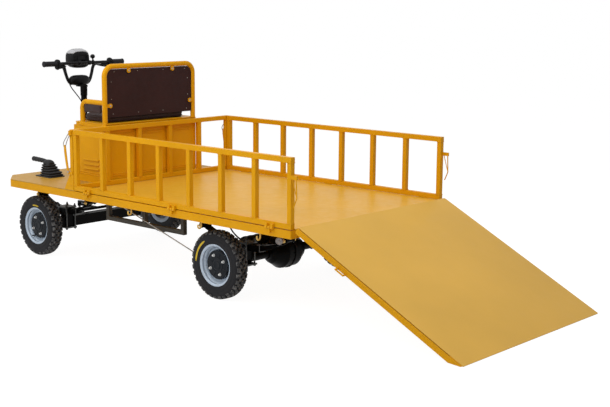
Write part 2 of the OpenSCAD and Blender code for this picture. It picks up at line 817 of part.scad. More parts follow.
module fence_rails() {
    difference() {
        union() {
            span([0, fence_y, fence_z], [side_len, half_w, fence_z + post_s]);
            span([0, fence_y, fence_top - post_s], [side_len, half_w, fence_top]);
            for (x = fence_hinges, s = [-1, 1]) translate([x + s * 22, 0, 0]) {
                long_bar(-9, 9, fence_pin_y, fence_pin_z, fence_pin_r + 4);
                span([-9, half_w - 1, fence_pin_z + 6], [9, fence_pin_y + 5, fence_pin_z + 22]);
            }
            ramp_toggle();
        }
        for (x = fence_hinges)
            long_bar(x - 40, x + 40, fence_pin_y, fence_pin_z, fence_pin_r + run_fit);
    }
}

module fence_left_posts() { color("gold") at_truck() fence_posts(); }
module fence_left_rails() { color("gold") at_truck() fence_rails(); }
module fence_right_posts() { color("gold") at_truck() mirror([0, 1, 0]) fence_posts(); }
module fence_right_rails() { color("gold") at_truck() mirror([0, 1, 0]) fence_rails(); }

// The ramp's own frame: X runs down the ramp from the hinge, Z away from the floor.
module at_ramp() {
    at_truck() translate([-ramp_back, 0, ramp_pin_z]) rotate([0, -ramp_a, 0]) mirror([1, 0, 0]) children();
}

module ramp_edges() {
    h = ramp_w / 2;
    top = ramp_rise - ramp_t;
    ring_z = ramp_low + 6;
    color("goldenrod") at_ramp() both_sides() {
        // Tube under the plate's edge, cut along the floor at its foot.
        translate([0, h, 0]) rotate([90, 0, 0]) linear_extrude(ramp_tube_w) polygon([
            [ramp_start, ramp_low], [ramp_tube_end, ramp_low], [ramp_len - 6, top], [ramp_start, top]
        ]);
        // Ring that the fence toggle hooks into.
        for (u = [350, 410]) {
            cross_bar(u, h - 4, h + 24, ring_z, 5);
            translate([u, h + 24, ring_z]) sphere(r = 5.2);
        }
        long_bar(350, 410, h + 24, ring_z, 5);
    }
}

module ramp_cross() {
    h = ramp_w / 2 - ramp_tube_w;
    pitch = (ramp_tube_end - ramp_cross_start - 30) / 3;
    color("goldenrod") at_ramp() difference() {
        union() {
            for (i = [0 : 3])
                span([ramp_cross_start + i * pitch, -h, ramp_low + 2],
                    [ramp_cross_start + i * pitch + 30, h, ramp_rise - ramp_t]);
            for (y = ramp_hinges, s = [-1, 1]) translate([0, y + s * 31, 0]) {
                cross_bar(0, -11, 11, 0, ramp_pin_r + 4);
                span([0, -11, -9], [34, 11, 9]);
            }
        }
        for (y = ramp_hinges) cross_bar(0, y - 50, y + 50, 0, ramp_pin_r + run_fit);
    }
}

module ramp_plate() {
    h = ramp_w / 2 - 13;
    color("gold") at_ramp() span([ramp_start, -h, ramp_rise - ramp_t], [ramp_len, h, ramp_rise]);
}

bed_channels();
end_beams();
spring_rails();
cross_tubes();
bed_plate();
front_deck();
front_posts_bars();
front_rails();
seat_box();
battery_pack();
seat_cushion();
seat_hoop();
back_board();
back_pad();
arm_pads();
parking_brake();
column_tower();
front_axle();
rear_axle();
leaf_springs();
spring_hangers();
spring_clamps();
hanging_frames();
brake_cables();
rope_hooks();
fence_pins();
ramp_pins();
corner_latches();
steer_column();
handlebar();
grips();
hand_controls();
headlamp();
bar_pod();
knuckle_left();
knuckle_right();
tie_rod();
tyre_fl();
tyre_fr();
tyre_rl();
tyre_rr();
rim_fl();
rim_fr();
rim_rl();
rim_rr();
fence_left_posts();
fence_left_rails();
fence_right_posts();
fence_right_rails();
ramp_edges();
ramp_cross();
ramp_plate();
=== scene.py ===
import json
from math import asin, copysign, cos, hypot, pi, radians, sin, sqrt

import bmesh
import bpy
from mathutils import Matrix, Vector, noise
from mathutils.bvhtree import BVHTree

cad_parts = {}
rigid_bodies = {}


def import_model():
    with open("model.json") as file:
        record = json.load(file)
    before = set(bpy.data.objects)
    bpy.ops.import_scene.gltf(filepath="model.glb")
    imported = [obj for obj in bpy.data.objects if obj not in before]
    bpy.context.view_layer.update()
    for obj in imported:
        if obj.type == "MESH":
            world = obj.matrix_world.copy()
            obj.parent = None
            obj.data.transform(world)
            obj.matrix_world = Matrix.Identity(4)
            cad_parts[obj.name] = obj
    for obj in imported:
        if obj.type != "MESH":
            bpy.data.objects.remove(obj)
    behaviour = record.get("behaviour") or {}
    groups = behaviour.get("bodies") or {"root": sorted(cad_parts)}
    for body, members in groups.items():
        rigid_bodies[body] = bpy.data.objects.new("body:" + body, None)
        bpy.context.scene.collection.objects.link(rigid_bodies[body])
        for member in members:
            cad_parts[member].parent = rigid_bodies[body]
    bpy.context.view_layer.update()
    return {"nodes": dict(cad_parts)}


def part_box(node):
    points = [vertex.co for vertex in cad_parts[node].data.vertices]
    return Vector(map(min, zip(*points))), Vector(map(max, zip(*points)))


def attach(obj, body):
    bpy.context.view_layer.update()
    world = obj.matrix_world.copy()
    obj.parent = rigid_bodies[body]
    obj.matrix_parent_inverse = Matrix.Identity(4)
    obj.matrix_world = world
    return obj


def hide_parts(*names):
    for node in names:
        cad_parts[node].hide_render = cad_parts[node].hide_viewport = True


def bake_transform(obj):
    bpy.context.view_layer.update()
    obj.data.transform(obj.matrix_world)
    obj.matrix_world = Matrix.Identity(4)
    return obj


for old in list(bpy.data.objects):
    bpy.data.objects.remove(old)
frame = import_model()
cad = frame["nodes"]
scene = bpy.context.scene
scene.view_settings.view_transform = "Standard"
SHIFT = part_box("bed_plate")[0].x


def P(x, y, z):
    """A point given in millimetres from the bed's rear edge, in the frame's axes."""
    return Vector((SHIFT + x / 1000, y / 1000, z / 1000))


def place(name, data):
    obj = bpy.data.objects.new(name, data)
    scene.collection.objects.link(obj)
    return obj


# Places that several pieces share, in millimetres
SIDES = (("left", 1), ("right", -1))
FRONT_X, REAR_X = 2598, 735
WHEEL_Y, AXLE_Z = 590, 217
SPRING_Y, FENCE_Y = 356, 723

# Camera, fitted to the photograph
cam = place("camera", bpy.data.cameras.new("camera"))
scene.camera = cam
cam.data.sensor_fit = "HORIZONTAL"
cam.data.sensor_width = 36
cam.data.lens = 68.86
cam.data.clip_end = 200
yaw, pitch, roll = (radians(a) for a in (-48.23, -9.81, 0.47))
look = Vector((cos(yaw) * cos(pitch), sin(yaw) * cos(pitch), sin(pitch)))
side = look.cross(Vector((0, 0, 1))).normalized()
rise = side.cross(look)
right = side * cos(roll) + rise * sin(roll)
up = rise * cos(roll) - side * sin(roll)
turn = Matrix((right, up, -look)).transposed().to_4x4()
cam.matrix_world = Matrix.Translation(P(-4380, 5523, 1831)) @ turn


# Materials
class Net:
    """A material with short calls for its nodes."""

    def __init__(self, name):
        self.mat = bpy.data.materials.new(name)
        self.mat.use_nodes = True
        self.tree = self.mat.node_tree
        self.bsdf = self.tree.nodes["Principled BSDF"]
        self.coord = self.node("TexCoord").outputs["Object"]

    def put(self, socket, value):
        if isinstance(value, bpy.types.NodeSocket):
            self.tree.links.new(value, socket)
        else:
            socket.default_value = value

    def node(self, kind, **values):
        n = self.tree.nodes.new("ShaderNode" + kind)
        for k, v in values.items():
            self.put(n.inputs[k.replace("_", " ")], v)
        return n

    def noise(self, scale, detail=4.0, rough=0.5, warp=0.0):
        return self.node("TexNoise", Vector=self.coord, Scale=scale, Detail=detail, Roughness=rough,
                         Distortion=warp).outputs[0]

    def cells(self, scale, feature="F1", coord=None):
        n = self.node("TexVoronoi", Vector=coord or self.coord, Scale=scale)
        n.feature = feature
        return n.outputs["Distance"]

    def stretch(self, scale):
        return self.node("Mapping", Vector=self.coord, Scale=scale).outputs[0]

    def span(self, value, a, b, lo=0.0, hi=1.0):
        n = self.node("MapRange")
        for i, v in enumerate((value, a, b, lo, hi)):
            self.put(n.inputs[i], v)
        return n.outputs[0]

    def math(self, op, a, b):
        n = self.node("Math")
        n.operation = op
        n.use_clamp = True
        self.put(n.inputs[0], a)
        self.put(n.inputs[1], b)
        return n.outputs[0]

    def mix(self, fac, a, b):
        n = self.node("Mix")
        n.data_type = "RGBA"
        for i, v in ((0, fac), (6, a), (7, b)):
            self.put(n.inputs[i], (*v, 1.0) if isinstance(v, tuple) and len(v) == 3 else v)
        return n.outputs[2]

    def bump(self, height, strength, distance, normal=None):
        n = self.node("Bump", Height=height, Strength=strength, Distance=distance)
        if normal:
            self.put(n.inputs["Normal"], normal)
        return n.outputs[0]

    def edges(self, radius):
        """1 along edges that a hand or a boot rubs, 0 on the flats."""
        bevel = self.node("Bevel", Radius=radius)
        bevel.samples = 4
        dot = self.node("VectorMath")
        dot.operation = "DOT_PRODUCT"
        self.put(dot.inputs[0], bevel.outputs[0])
        self.put(dot.inputs[1], self.node("NewGeometry").outputs["Normal"])
        return self.span(dot.outputs["Value"], 0.995, 0.9)

    def done(self, colour, rough, normal=None, **fixed):
        self.put(self.bsdf.inputs["Base Color"], colour)
        self.put(self.bsdf.inputs["Roughness"], rough)
        if normal:
            self.put(self.bsdf.inputs["Normal"], normal)
        for k, v in fixed.items():
            self.bsdf.inputs[k.replace("_", " ")].default_value = v
        return self.mat


def shade(c, k):
    return tuple(min(1.0, v * k) for v in c)


def paint(name, colour, rough, dust, dust_colour, peel, wear, gloss=0.2, fleck=0.12, **fixed):
    n = Net(name)
    big, mid, fine = n.noise(1.7, 3), n.noise(21, 6, 0.6), n.noise(520, 2)
    col = n.mix(n.span(big, 0.3, 0.7), shade(colour, 0.94), shade(colour, 1.05))
    col = n.mix(n.span(mid, 0.5, 0.85, 0.0, dust), col, dust_colour)
    col = n.mix(n.span(n.noise(75, 9, 0.7), 0.68, 0.74, 0.0, fleck), col, shade(colour, 0.75))
    if wear:
        rub = n.math("MULTIPLY", n.edges(0.0025), n.span(n.noise(48, 7, 0.65), 0.5, 0.66))
        col = n.mix(rub, col, wear)
    rgh = n.span(mid, 0.3, 0.75, rough - 0.05, rough + 0.11)
    tops = n.bump(n.noise(4, 2), 0.02, 0.003)
    return n.done(col, rgh, n.bump(fine, peel, 0.0003, tops), Specular_IOR_Level=gloss, **fixed)


def metal(name, colour, rough, grime=(0.05, 0.045, 0.04), amount=0.5):
    n = Net(name)
    mid = n.noise(34, 7, 0.65)
    col = n.mix(n.span(n.noise(6, 3), 0.3, 0.7), shade(colour, 0.86), shade(colour, 1.08))
    col = n.mix(n.span(mid, 0.52, 0.8, 0.0, amount), col, grime)
    rgh = n.span(mid, 0.3, 0.8, rough - 0.08, rough + 0.2)
    return n.done(col, rgh, n.bump(n.noise(380, 4), 0.15, 0.0003), Metallic=1.0)


def leather(name, colour, rough, gloss):
    n = Net(name)
    grain = n.cells(430, "DISTANCE_TO_EDGE", n.stretch((1, 1, 1.15)))
    crease = n.noise(26, 8, 0.6, 0.6)
    col = n.mix(n.span(n.noise(5, 4), 0.3, 0.7), shade(colour, 0.8), shade(colour, 1.15))
    col = n.mix(n.span(grain, 0.0, 0.12, 0.5, 0.0), col, shade(colour, 0.45))
    col = n.mix(n.span(crease, 0.62, 0.75, 0.0, 0.3), col, shade(colour, 1.7))
    rgh = n.span(crease, 0.3, 0.7, rough - 0.06, rough + 0.12)
    low = n.bump(crease, 0.25, 0.003)
    fine = n.bump(n.span(grain, 0.0, 0.16), 0.35, 0.0006, low)
    return n.done(col, rgh, fine, Specular_IOR_Level=gloss, Sheen_Weight=0.04)


def rubber(name, colour, rough, dust, dust_colour, grain=19):
    n = Net(name)
    mid = n.noise(grain, 8, 0.65)
    col = n.mix(n.span(n.noise(7, 3), 0.3, 0.7), shade(colour, 0.85), shade(colour, 1.2))
    col = n.mix(n.span(mid, 0.45, 0.78, 0.0, dust), col, dust_colour)
    rgh = n.span(mid, 0.3, 0.75, rough - 0.1, rough + 0.15)
    low = n.bump(mid, 0.1, 0.002)
    return n.done(col, rgh, n.bump(n.noise(700, 3), 0.2, 0.0004, low), Specular_IOR_Level=0.18)


def plastic(name, colour, rough=0.42, grain=0.25):
    n = Net(name)
    mid = n.noise(27, 6, 0.6)
    col = n.mix(n.span(mid, 0.35, 0.75), shade(colour, 0.88), shade(colour, 1.14))
    rgh = n.span(mid, 0.3, 0.75, rough - 0.05, rough + 0.12)
    return n.done(col, rgh, n.bump(n.cells(900), grain, 0.0003), Specular_IOR_Level=0.13)


def lens(name):
    n = Net(name)
    ribs = n.node("TexWave", Vector=n.coord, Scale=55)
    ribs.bands_direction = "Y"
    col = n.mix(ribs.outputs["Fac"], (0.62, 0.64, 0.66), (0.8, 0.82, 0.84))
    rgh = n.span(n.noise(60, 4), 0.3, 0.7, 0.08, 0.2)
    return n.done(col, rgh, n.bump(ribs.outputs["Fac"], 0.4, 0.001))


YELLOW = (0.74, 0.345, 0.004)
# Paint: colour, roughness, dust and its colour, orange peel, worn edges, gloss, flecks
M = {
    "yellow": paint("yellow_paint", YELLOW, 0.32, 0.04, (0.6, 0.42, 0.2), 0.03, (0.5, 0.21, 0.01), 0.08),
    # deck: the yellow paint made paler and bluer, a painted sheen of the white surroundings on the bed's top
    "deck": paint("deck_paint", (0.74, 0.39, 0.03), 0.36, 0.05, (0.66, 0.44, 0.18), 0.03, None, 0.09, 0.05),
    "foot": paint("foot_deck_paint", (0.5, 0.275, 0.04), 0.4, 0.3, (0.42, 0.32, 0.2), 0.03, None, 0.09, 0.1),
    # ramp: the deck's paint made paler and bluer, a painted sheen of the white surroundings on its top
    "ramp": paint("ramp_paint_painted_sheen", (0.79, 0.455, 0.075), 0.36, 0.06, (0.7, 0.5, 0.24), 0.03, None, 0.12, 0.05),
    "black": paint("black_paint", (0.0032, 0.003, 0.003), 0.38, 0.1, (0.03, 0.027, 0.025), 0.12,
                   (0.03, 0.028, 0.026), 0.05),
    "grey": paint("grey_paint", (0.056, 0.05, 0.039), 0.5, 0.3, (0.16, 0.135, 0.105), 0.2,
                  (0.26, 0.21, 0.17)),
    "hub": paint("hub_paint", (0.005, 0.0075, 0.0112), 0.34, 0.1, (0.04, 0.042, 0.045), 0.1, None, 0.14),
    "rim": paint("rim_paint", (0.49, 0.58, 0.69), 0.33, 0.2, (0.25, 0.255, 0.26), 0.08,
                 (0.6, 0.63, 0.66), 0.3, Metallic=0.1),
    "steel": metal("bright_steel", (0.66, 0.66, 0.65), 0.28, amount=0.3),
    "worn": metal("worn_steel", (0.36, 0.34, 0.31), 0.45, (0.12, 0.08, 0.05), 0.6),
    "brass": metal("brass_pin", (0.62, 0.42, 0.14), 0.4, (0.14, 0.08, 0.03), 0.5),
    "seat": leather("seat_cover", (0.034, 0.0128, 0.0118), 0.4, 0.22),
    "board": leather("seat_board", (0.031, 0.0095, 0.0088), 0.55, 0.12),
    "tyre": rubber("tyre_rubber", (0.0085, 0.0085, 0.0105), 0.6, 0.15, (0.06, 0.057, 0.056)),
    "tread": rubber("tread_rubber", (0.026, 0.026, 0.0275), 0.6, 1.0, (0.27, 0.265, 0.26), 46),
    "boot": rubber("boot_rubber", (0.0125, 0.0125, 0.0135), 0.5, 0.3, (0.07, 0.068, 0.066)),
    "plastic": plastic("black_plastic", (0.005, 0.005, 0.0056)),
    "pale": plastic("pale_plastic", (0.5, 0.5, 0.515), 0.3, 0.1),
    "gloss": plastic("gloss_bar", (0.006, 0.006, 0.007), 0.24, 0.08),
    "case": plastic("battery_case", (0.05, 0.052, 0.055), 0.5),
    "band": plastic("band_yellow", (0.72, 0.5, 0.04), 0.4, 0.08),
    "bolt": metal("clamp_steel", (0.1, 0.1, 0.098), 0.45, (0.03, 0.028, 0.026), 0.6),
    "hook": paint("hook_paint", (0.72, 0.47, 0.12), 0.35, 0.2, (0.62, 0.55, 0.42), 0.05,
                  (0.5, 0.42, 0.3), 0.1),
    "grey_part": plastic("grey_plastic", (0.3, 0.285, 0.28), 0.4, 0.1),
    # seam: colour of the painted shadow lines along the ramp's edge tubes
    "seam": paint("seam_shadow", (0.16, 0.06, 0.006), 0.6, 0.1, (0.3, 0.16, 0.05), 0.05, None, 0.05),
    "lens": lens("lamp_lens"),
}


# Mesh code
HEX = 1.732  # width across the flats of a nut, for a corner radius of 1


def turns(n):
    """Angles of n even steps round a circle."""
    return [2 * pi * j / n for j in range(n)]


def bulge(v, power):
    """A power that keeps the sign; below 1 it squares up a circle."""
    return copysign(abs(v) ** power, v)


def mm(pairs):
    return [(a / 1000, b / 1000) for a, b in pairs]


def basis(axis):
    w = Vector(axis).normalized()
    u = w.orthogonal().normalized()
    return u, w.cross(u), w


def flow(points, steps=8, closed=False):
    """A smooth line through the points."""
    pts = [Vector(p) for p in points]
    n = len(pts)
    out = []
    for i in range(n if closed else n - 1):
        at = (lambda k: pts[k % n]) if closed else (lambda k: pts[min(max(k, 0), n - 1)])
        a, b, c, d = at(i - 1), at(i), at(i + 1), at(i + 2)
        for s in range(steps):
            t = s / steps
            out.append(0.5 * (2 * b + (c - a) * t + (2 * a - 5 * b + 4 * c - d) * t * t
                              + (3 * b - a - 3 * c + d) * t ** 3))
    if not closed:
        out.append(pts[-1])
    return out


class Shape:
    """Vertices and faces of one piece, built up from lofts."""

    def __init__(self):
        self.verts, self.faces, self.slots = [], [], []

    def add(self, verts, faces, slot=0):
        n = len(self.verts)
        self.verts += [Vector(v) for v in verts]
        self.faces += [tuple(i + n for i in f) for f in faces]
        self.slots += [slot] * len(faces)

    def loft(self, rings, slot=0, caps=True, loop=False):
        k = len(rings[0])
        faces = []
        for i in range(len(rings) if loop else len(rings) - 1):
            a, b = i * k, (i + 1) % len(rings) * k
            for j in range(k):
                m = (j + 1) % k
                faces.append((a + j, a + m, b + m, b + j))
        if caps and not loop:
            faces.append(tuple(range(k))[::-1])
            faces.append(tuple(range((len(rings) - 1) * k, len(rings) * k)))
        self.add([v for r in rings for v in r], faces, slot)

    def tube(self, path, radius, sides=12, closed=False, slot=0):
        pts = [Vector(p) for p in path]
        n = len(pts)
        if not hasattr(radius, "__len__"):
            radius = [radius] * n
        tangent = []
        for i in range(n):
            a = pts[(i - 1) % n] if closed or i else pts[i]
            b = pts[(i + 1) % n] if closed or i < n - 1 else pts[i]
            tangent.append((b - a).normalized())
        u = tangent[0].orthogonal().normalized()
        rings = []
        for p, t, r in zip(pts, tangent, radius):
            u = (u - t * u.dot(t)).normalized()
            v = t.cross(u)
            rings.append([p + (u * cos(q) + v * sin(q)) * r for q in turns(sides)])
        self.loft(rings, slot, loop=closed)

    def lathe(self, profile, centre, axis, sides=48, slot=0, closed=False):
        u, v, w = basis(axis)
        c = Vector(centre)
        rings = [[c + w * h + (u * cos(q) + v * sin(q)) * max(r, 1e-5) for q in turns(sides)]
                 for r, h in profile]
        self.loft(rings, slot, caps=not closed, loop=closed)

    def box(self, lo, hi, slot=0):
        a, b = Vector(lo), Vector(hi)
        ring = [(a.x, a.y), (b.x, a.y), (b.x, b.y), (a.x, b.y)]
        self.loft([[Vector((x, y, z)) for x, y in ring] for z in (a.z, b.z)], slot)

    def prism(self, outline, shift, slot=0):
        pts = [Vector(p) for p in outline]
        self.loft([pts, [p + Vector(shift) for p in pts]], slot)

    def nut(self, centre, axis, across, height, slot=0, stud=0.0):
        u, v, w = basis(axis)
        c = Vector(centre)
        rings = [[c + w * h + (u * cos(q) + v * sin(q)) * across / HEX * k for q in turns(6)]
                 for k, h in ((1, 0), (1, 0.8 * height), (0.86, height))]
        self.loft(rings, slot)
        if stud:
            r = across * 0.29
            self.lathe([(r, height), (r, height + stud), (r * 0.7, height + stud * 1.25)], c, axis, 12, slot)

    def screw(self, centre, axis, r, h, slot=0):
        """A low round head with a cross in it."""
        u, v, w = basis(axis)
        c = Vector(centre)
        self.lathe([(r, 0), (r, h * 0.45), (r * 0.8, h * 0.85), (r * 0.45, h)], c, axis, 16, slot)
        for a, b in ((u, v), (v, u)):
            self.prism([c + w * h * 1.01 + a * r * 0.4 * i + b * r * 0.09 * j
                        for i, j in ((-1, -1), (1, -1), (1, 1), (-1, 1))], w * -h * 0.3, slot)

    def make(self, name, body, mats, bevel=0.0, segments=2, angle=35):
        mesh = bpy.data.meshes.new(name)
        mesh.from_pydata([tuple(v) for v in self.verts], [], self.faces)
        for m in [mats] if isinstance(mats, str) else mats:
            mesh.materials.append(M[m])
        for poly, s in zip(mesh.polygons, self.slots):
            poly.material_index = s
        work = bmesh.new()
        work.from_mesh(mesh)
        bmesh.ops.recalc_face_normals(work, faces=work.faces)
        work.to_mesh(mesh)
        work.free()
        obj = place(name, mesh)
        soften(obj, bevel, segments, angle)
        if body:
            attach(obj, body)
        return obj


def modify(obj, kind, **values):
    m = obj.modifiers.new(kind.lower(), kind)
    for k, v in values.items():
        setattr(m, k, v)
    return m


def soften(obj, bevel=0.0, segments=2, angle=35, weld=False):
    mesh = obj.data
    mesh.polygons.foreach_set("use_smooth", [True] * len(mesh.polygons))
    if weld:
        modify(obj, "WELD", merge_threshold=0.00002)
    if bevel:
        modify(obj, "BEVEL", width=bevel, segments=segments, limit_method="ANGLE",
               angle_limit=radians(angle), harden_normals=True)
    else:
        mesh.set_sharp_from_angle(angle=radians(angle))


# Finish of the CAD nodes
LOOK = {
    "yellow": "bed_channels end_beams spring_rails cross_tubes front_posts_bars front_rails seat_box "
              "seat_hoop fence_pins ramp_pins fence_left_posts fence_left_rails fence_right_posts "
              "fence_right_rails ramp_edges ramp_cross",
    "deck": "bed_plate",
    "foot": "front_deck",
    "ramp": "ramp_plate",
    "black": "front_axle rear_axle leaf_springs spring_hangers knuckle_left knuckle_right tie_rod "
             "column_tower steer_column",
    "bolt": "spring_clamps",
    "hook": "rope_hooks",
    "worn": "brake_cables",
    "grey": "hanging_frames",
    "seat": "seat_cushion back_pad arm_pads",
    "board": "back_board",
    "case": "battery_pack",
    "boot": "parking_brake grips",
    "gloss": "handlebar",
    "plastic": "hand_controls headlamp bar_pod",
    "brass": "corner_latches",
    "tyre": "tyre_fl tyre_fr tyre_rl tyre_rr",
    "rim": "rim_fl rim_fr rim_rl rim_rr",
}
# Bevels of the boxy nodes, in millimetres
BOXY = {
    1: "bed_plate",
    1.2: "ramp_plate spring_clamps rim_fl rim_fr rim_rl rim_rr",
    2: "cross_tubes front_deck ramp_cross back_board",
    2.5: "fence_left_rails fence_right_rails",
    3: "bed_channels end_beams spring_rails front_posts_bars front_rails seat_box hanging_frames "
       "fence_left_posts fence_right_posts ramp_edges",
    4: "front_axle",
}
BEVEL = {n: size / 1000 for size, members in BOXY.items() for n in members.split()}
for look_name, members in LOOK.items():
    for n in members.split():
        cad[n].data.materials.clear()
        cad[n].data.materials.append(M[look_name])
        if "custom_normal" in cad[n].data.attributes:
            cad[n].data.attributes.remove(cad[n].data.attributes["custom_normal"])
        soften(cad[n], BEVEL.get(n, 0.0), weld=n in BEVEL)


# Wheels
WHEELS = {
    "fl": ("wheel_front_left", FRONT_X, 1), "fr": ("wheel_front_right", FRONT_X, -1),
    "rl": ("wheel_rear_left", REAR_X, 1), "rr": ("wheel_rear_right", REAR_X, -1),
}
# Outer profile of the tread from its middle to the sidewall: distance from the wheel's plane, radius.
CROWN = [(0, 217), (22, 217), (32, 215), (38, 211), (42.5, 204), (44.5, 192)]


def crown(z):
    for (a, p), (b, q) in zip(CROWN, CROWN[1:]):
        if z <= b:
            return p + (q - p) * (z - a) / (b - a)
    return CROWN[-1][1]


def wheel_point(w, r, deg, out):
    """Radius, angle from the front and distance outboard of the wheel's plane, in millimetres."""
    _, x, s = WHEELS[w]
    a = radians(deg)
    return P(x + r * cos(a), s * (WHEEL_Y + out), AXLE_Z + r * sin(a))


def build_tyre(w):
    body, _, s = WHEELS[w]
    axis = Vector((0, s, 0))
    half = [(0, 209.5), (18, 209.5), (29, 207.5), (36, 202.5), (40.5, 194), (42.2, 188), (43.6, 184),
            (43.6, 180), (44, 178), (44, 174), (43.2, 173), (43.4, 160), (44, 158), (44, 153), (42.8, 149),
            (42.3, 144.5), (42.6, 138), (42.2, 134.4), (41.2, 133.2), (36, 133), (35, 130), (33, 124.4)]
    prof = mm([(r, -z) for z, r in half[::-1]] + [(r, z) for z, r in half[1:]])
    sh = Shape()
    sh.lathe(prof, wheel_point(w, 0, 0, 0), axis, 108, 0, closed=True)
    # Rows of blocks: inner and outer edge, share of the pitch, offset, slant.
    count = 32
    pitch = 360 / count
    rows = [(-9, 9, 0.66, 0.0, 0.14), (12, 25.5, 0.66, 0.5, -0.16), (-25.5, -12, 0.66, 0.5, 0.16)]
    for i in range(count):
        for z0, z1, share, shift, slant in rows:
            tread_block(sh, w, (i + shift) * pitch, pitch * share, [z0, (z0 + z1) / 2, z1], slant * pitch)
        for m in (1, -1):
            reach = 42.8 if i % 2 else 40.5
            tread_block(sh, w, (i + (0.0 if m > 0 else 0.1)) * pitch, pitch * 0.7,
                        [m * 28, m * 33, m * 37, m * reach], 0.0)
    obj = sh.make(f"tyre_{w}_tread", body, ["tyre", "tread"], angle=28)
    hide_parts(f"tyre_{w}")


def tread_block(sh, w, a, width, zs, slant):
    top, foot = [], []
    for k, z in enumerate(zs):
        lean = slant * (k / (len(zs) - 1) - 0.5)
        r = crown(abs(z))
        base = r - 9
        pull = 0.5 if abs(z) < 36 else 1.0
        for e in (-1, 1):
            top.append(wheel_point(w, r, a + lean + e * width * 0.43, z))
            foot.append(wheel_point(w, base, a + lean + e * width * 0.5, z * (1 - 0.004 * pull)))
    n = len(zs)
    faces = [(2 * k, 2 * k + 1, 2 * k + 3, 2 * k + 2) for k in range(n - 1)]
    m = 2 * n
    for k in range(n - 1):
        faces += [(2 * k, 2 * k + 2, m + 2 * k + 2, m + 2 * k),
                  (2 * k + 1, m + 2 * k + 1, m + 2 * k + 3, 2 * k + 3)]
    faces += [(0, m, m + 1, 1), (m - 2, m - 1, 2 * m - 1, 2 * m - 2)]
    sh.add(top + foot, faces, 1)


def build_hub(w):
    body, _, s = WHEELS[w]
    axis = Vector((0, s, 0))
    c = wheel_point(w, 0, 0, 0)
    sh = Shape()
    prof = [(95, -3.8), (94.5, -1), (93, 12), (91.5, 16.4), (88.5, 19.6), (84, 20.6), (82, 20.0), (79, 20.0),
            (77, 20.8), (50, 21.4), (48.6, 24.2), (46, 24.6), (44, 23.6), (34, 23.6), (32, 25.4), (29, 27.8),
            (24, 28.4), (22, 27.8), (0, 27.8)]
    sh.lathe(mm(prof), c, axis, 64)
    start = 64 if s > 0 else 20
    for k in range(4):
        a = start + 90 * k
        p = wheel_point(w, 63, a, 21)
        sh.lathe([(0.0095, 0), (0.0095, 0.0016), (0.0085, 0.002)], p, axis, 20, 1)
        sh.nut(p + axis * 0.0018, axis, 0.014, 0.009, 1, 0.004)
        # Shallow web between two nuts.
        b = a + 45
        p, q = wheel_point(w, 52, b, 20.6), wheel_point(w, 76, b, 20.2)
        sh.tube([p, (p + q) / 2 + axis * 0.001, q], 0.003, 8)
    sh.make(f"hub_{w}", body, ["hub", "steel"], 0.0006, 1)
    # Valve on the dish of the rim.
    sh = Shape()
    a = -52 if w[0] == "f" else 207
    p, q = wheel_point(w, 111, a, 6), wheel_point(w, 104, a, 30)
    sh.tube([p, p.lerp(q, 0.25), p.lerp(q, 0.3), q], [0.0058, 0.005, 0.0036, 0.0036], 12)
    sh.tube([p.lerp(q, t) for t in (0.72, 0.74, 1.06, 1.1)], [0.0036, 0.0046, 0.0046, 0.003], 10, slot=1)
    sh.make(f"valve_{w}", body, ["boot", "plastic"])
    # Bare coloured band on the sidewall.
    sh = Shape()
    lo, hi, at, wide = (79, 104, 149.5, 4.6) if w[0] == "f" else (1, 58, 166, 6)
    rings = []
    for i in range(25):
        t = i / 24
        a = lo + (hi - lo) * t
        e = wide * min(1.0, 6 * min(t, 1 - t) + 0.35)
        rings.append([wheel_point(w, at + e + 0.5, a, 43.2), wheel_point(w, at + e, a, 44.6),
                      wheel_point(w, at - e, a, 44.6), wheel_point(w, at - e - 0.5, a, 42.8)])
    sh.loft(rings)
    sh.make(f"sidewall_band_{w}", body, "band", angle=50)


for w in WHEELS:
    build_tyre(w)
    build_hub(w)


def rounded(cx, cy, w, d, r, z, n=10):
    """A level rectangle with round corners, in millimetres."""
    pts = []
    for qx, qy, a0 in ((1, 1, 0), (-1, 1, 90), (-1, -1, 180), (1, -1, 270)):
        for i in range(n):
            a = radians(a0 + 90 * i / (n - 1))
            pts.append(P(cx + qx * (w / 2 - r) + r * cos(a), cy + qy * (d / 2 - r) + r * sin(a), z))
    return pts


# Seat: covers that start smaller than their solids and swell into the room that is left
ROOM = 0.012
CLOTH_FRAMES = 20


def swell(obj, cap, floor):
    """Blows a closed mesh up as a sewn cover over foam, and keeps the result in the mesh."""
    m = obj.modifiers.new("cloth", "CLOTH")
    s = m.settings
    s.quality = 5
    s.mass = 0.35
    s.tension_stiffness = s.compression_stiffness = 14
    s.shear_stiffness = 6
    s.bending_stiffness = 1.2
    s.use_pressure = True
    s.uniform_pressure_force = 4.0
    s.effector_weights.gravity = 0
    m.point_cache.frame_start, m.point_cache.frame_end = 1, CLOTH_FRAMES
    rest = [v.co.copy() for v in obj.data.vertices]
    for f in range(1, CLOTH_FRAMES + 1):
        scene.frame_set(f)
    done = obj.evaluated_get(bpy.context.evaluated_depsgraph_get()).data
    moved = [v.co.copy() for v in done.vertices]
    obj.modifiers.remove(m)
    scene.frame_set(1)
    for v, a, b in zip(obj.data.vertices, rest, moved):
        d = b - a
        if d.length > cap:
            d *= cap / d.length
        v.co = a + d
        if floor is not None and v.co.z < floor:
            v.co.z = floor


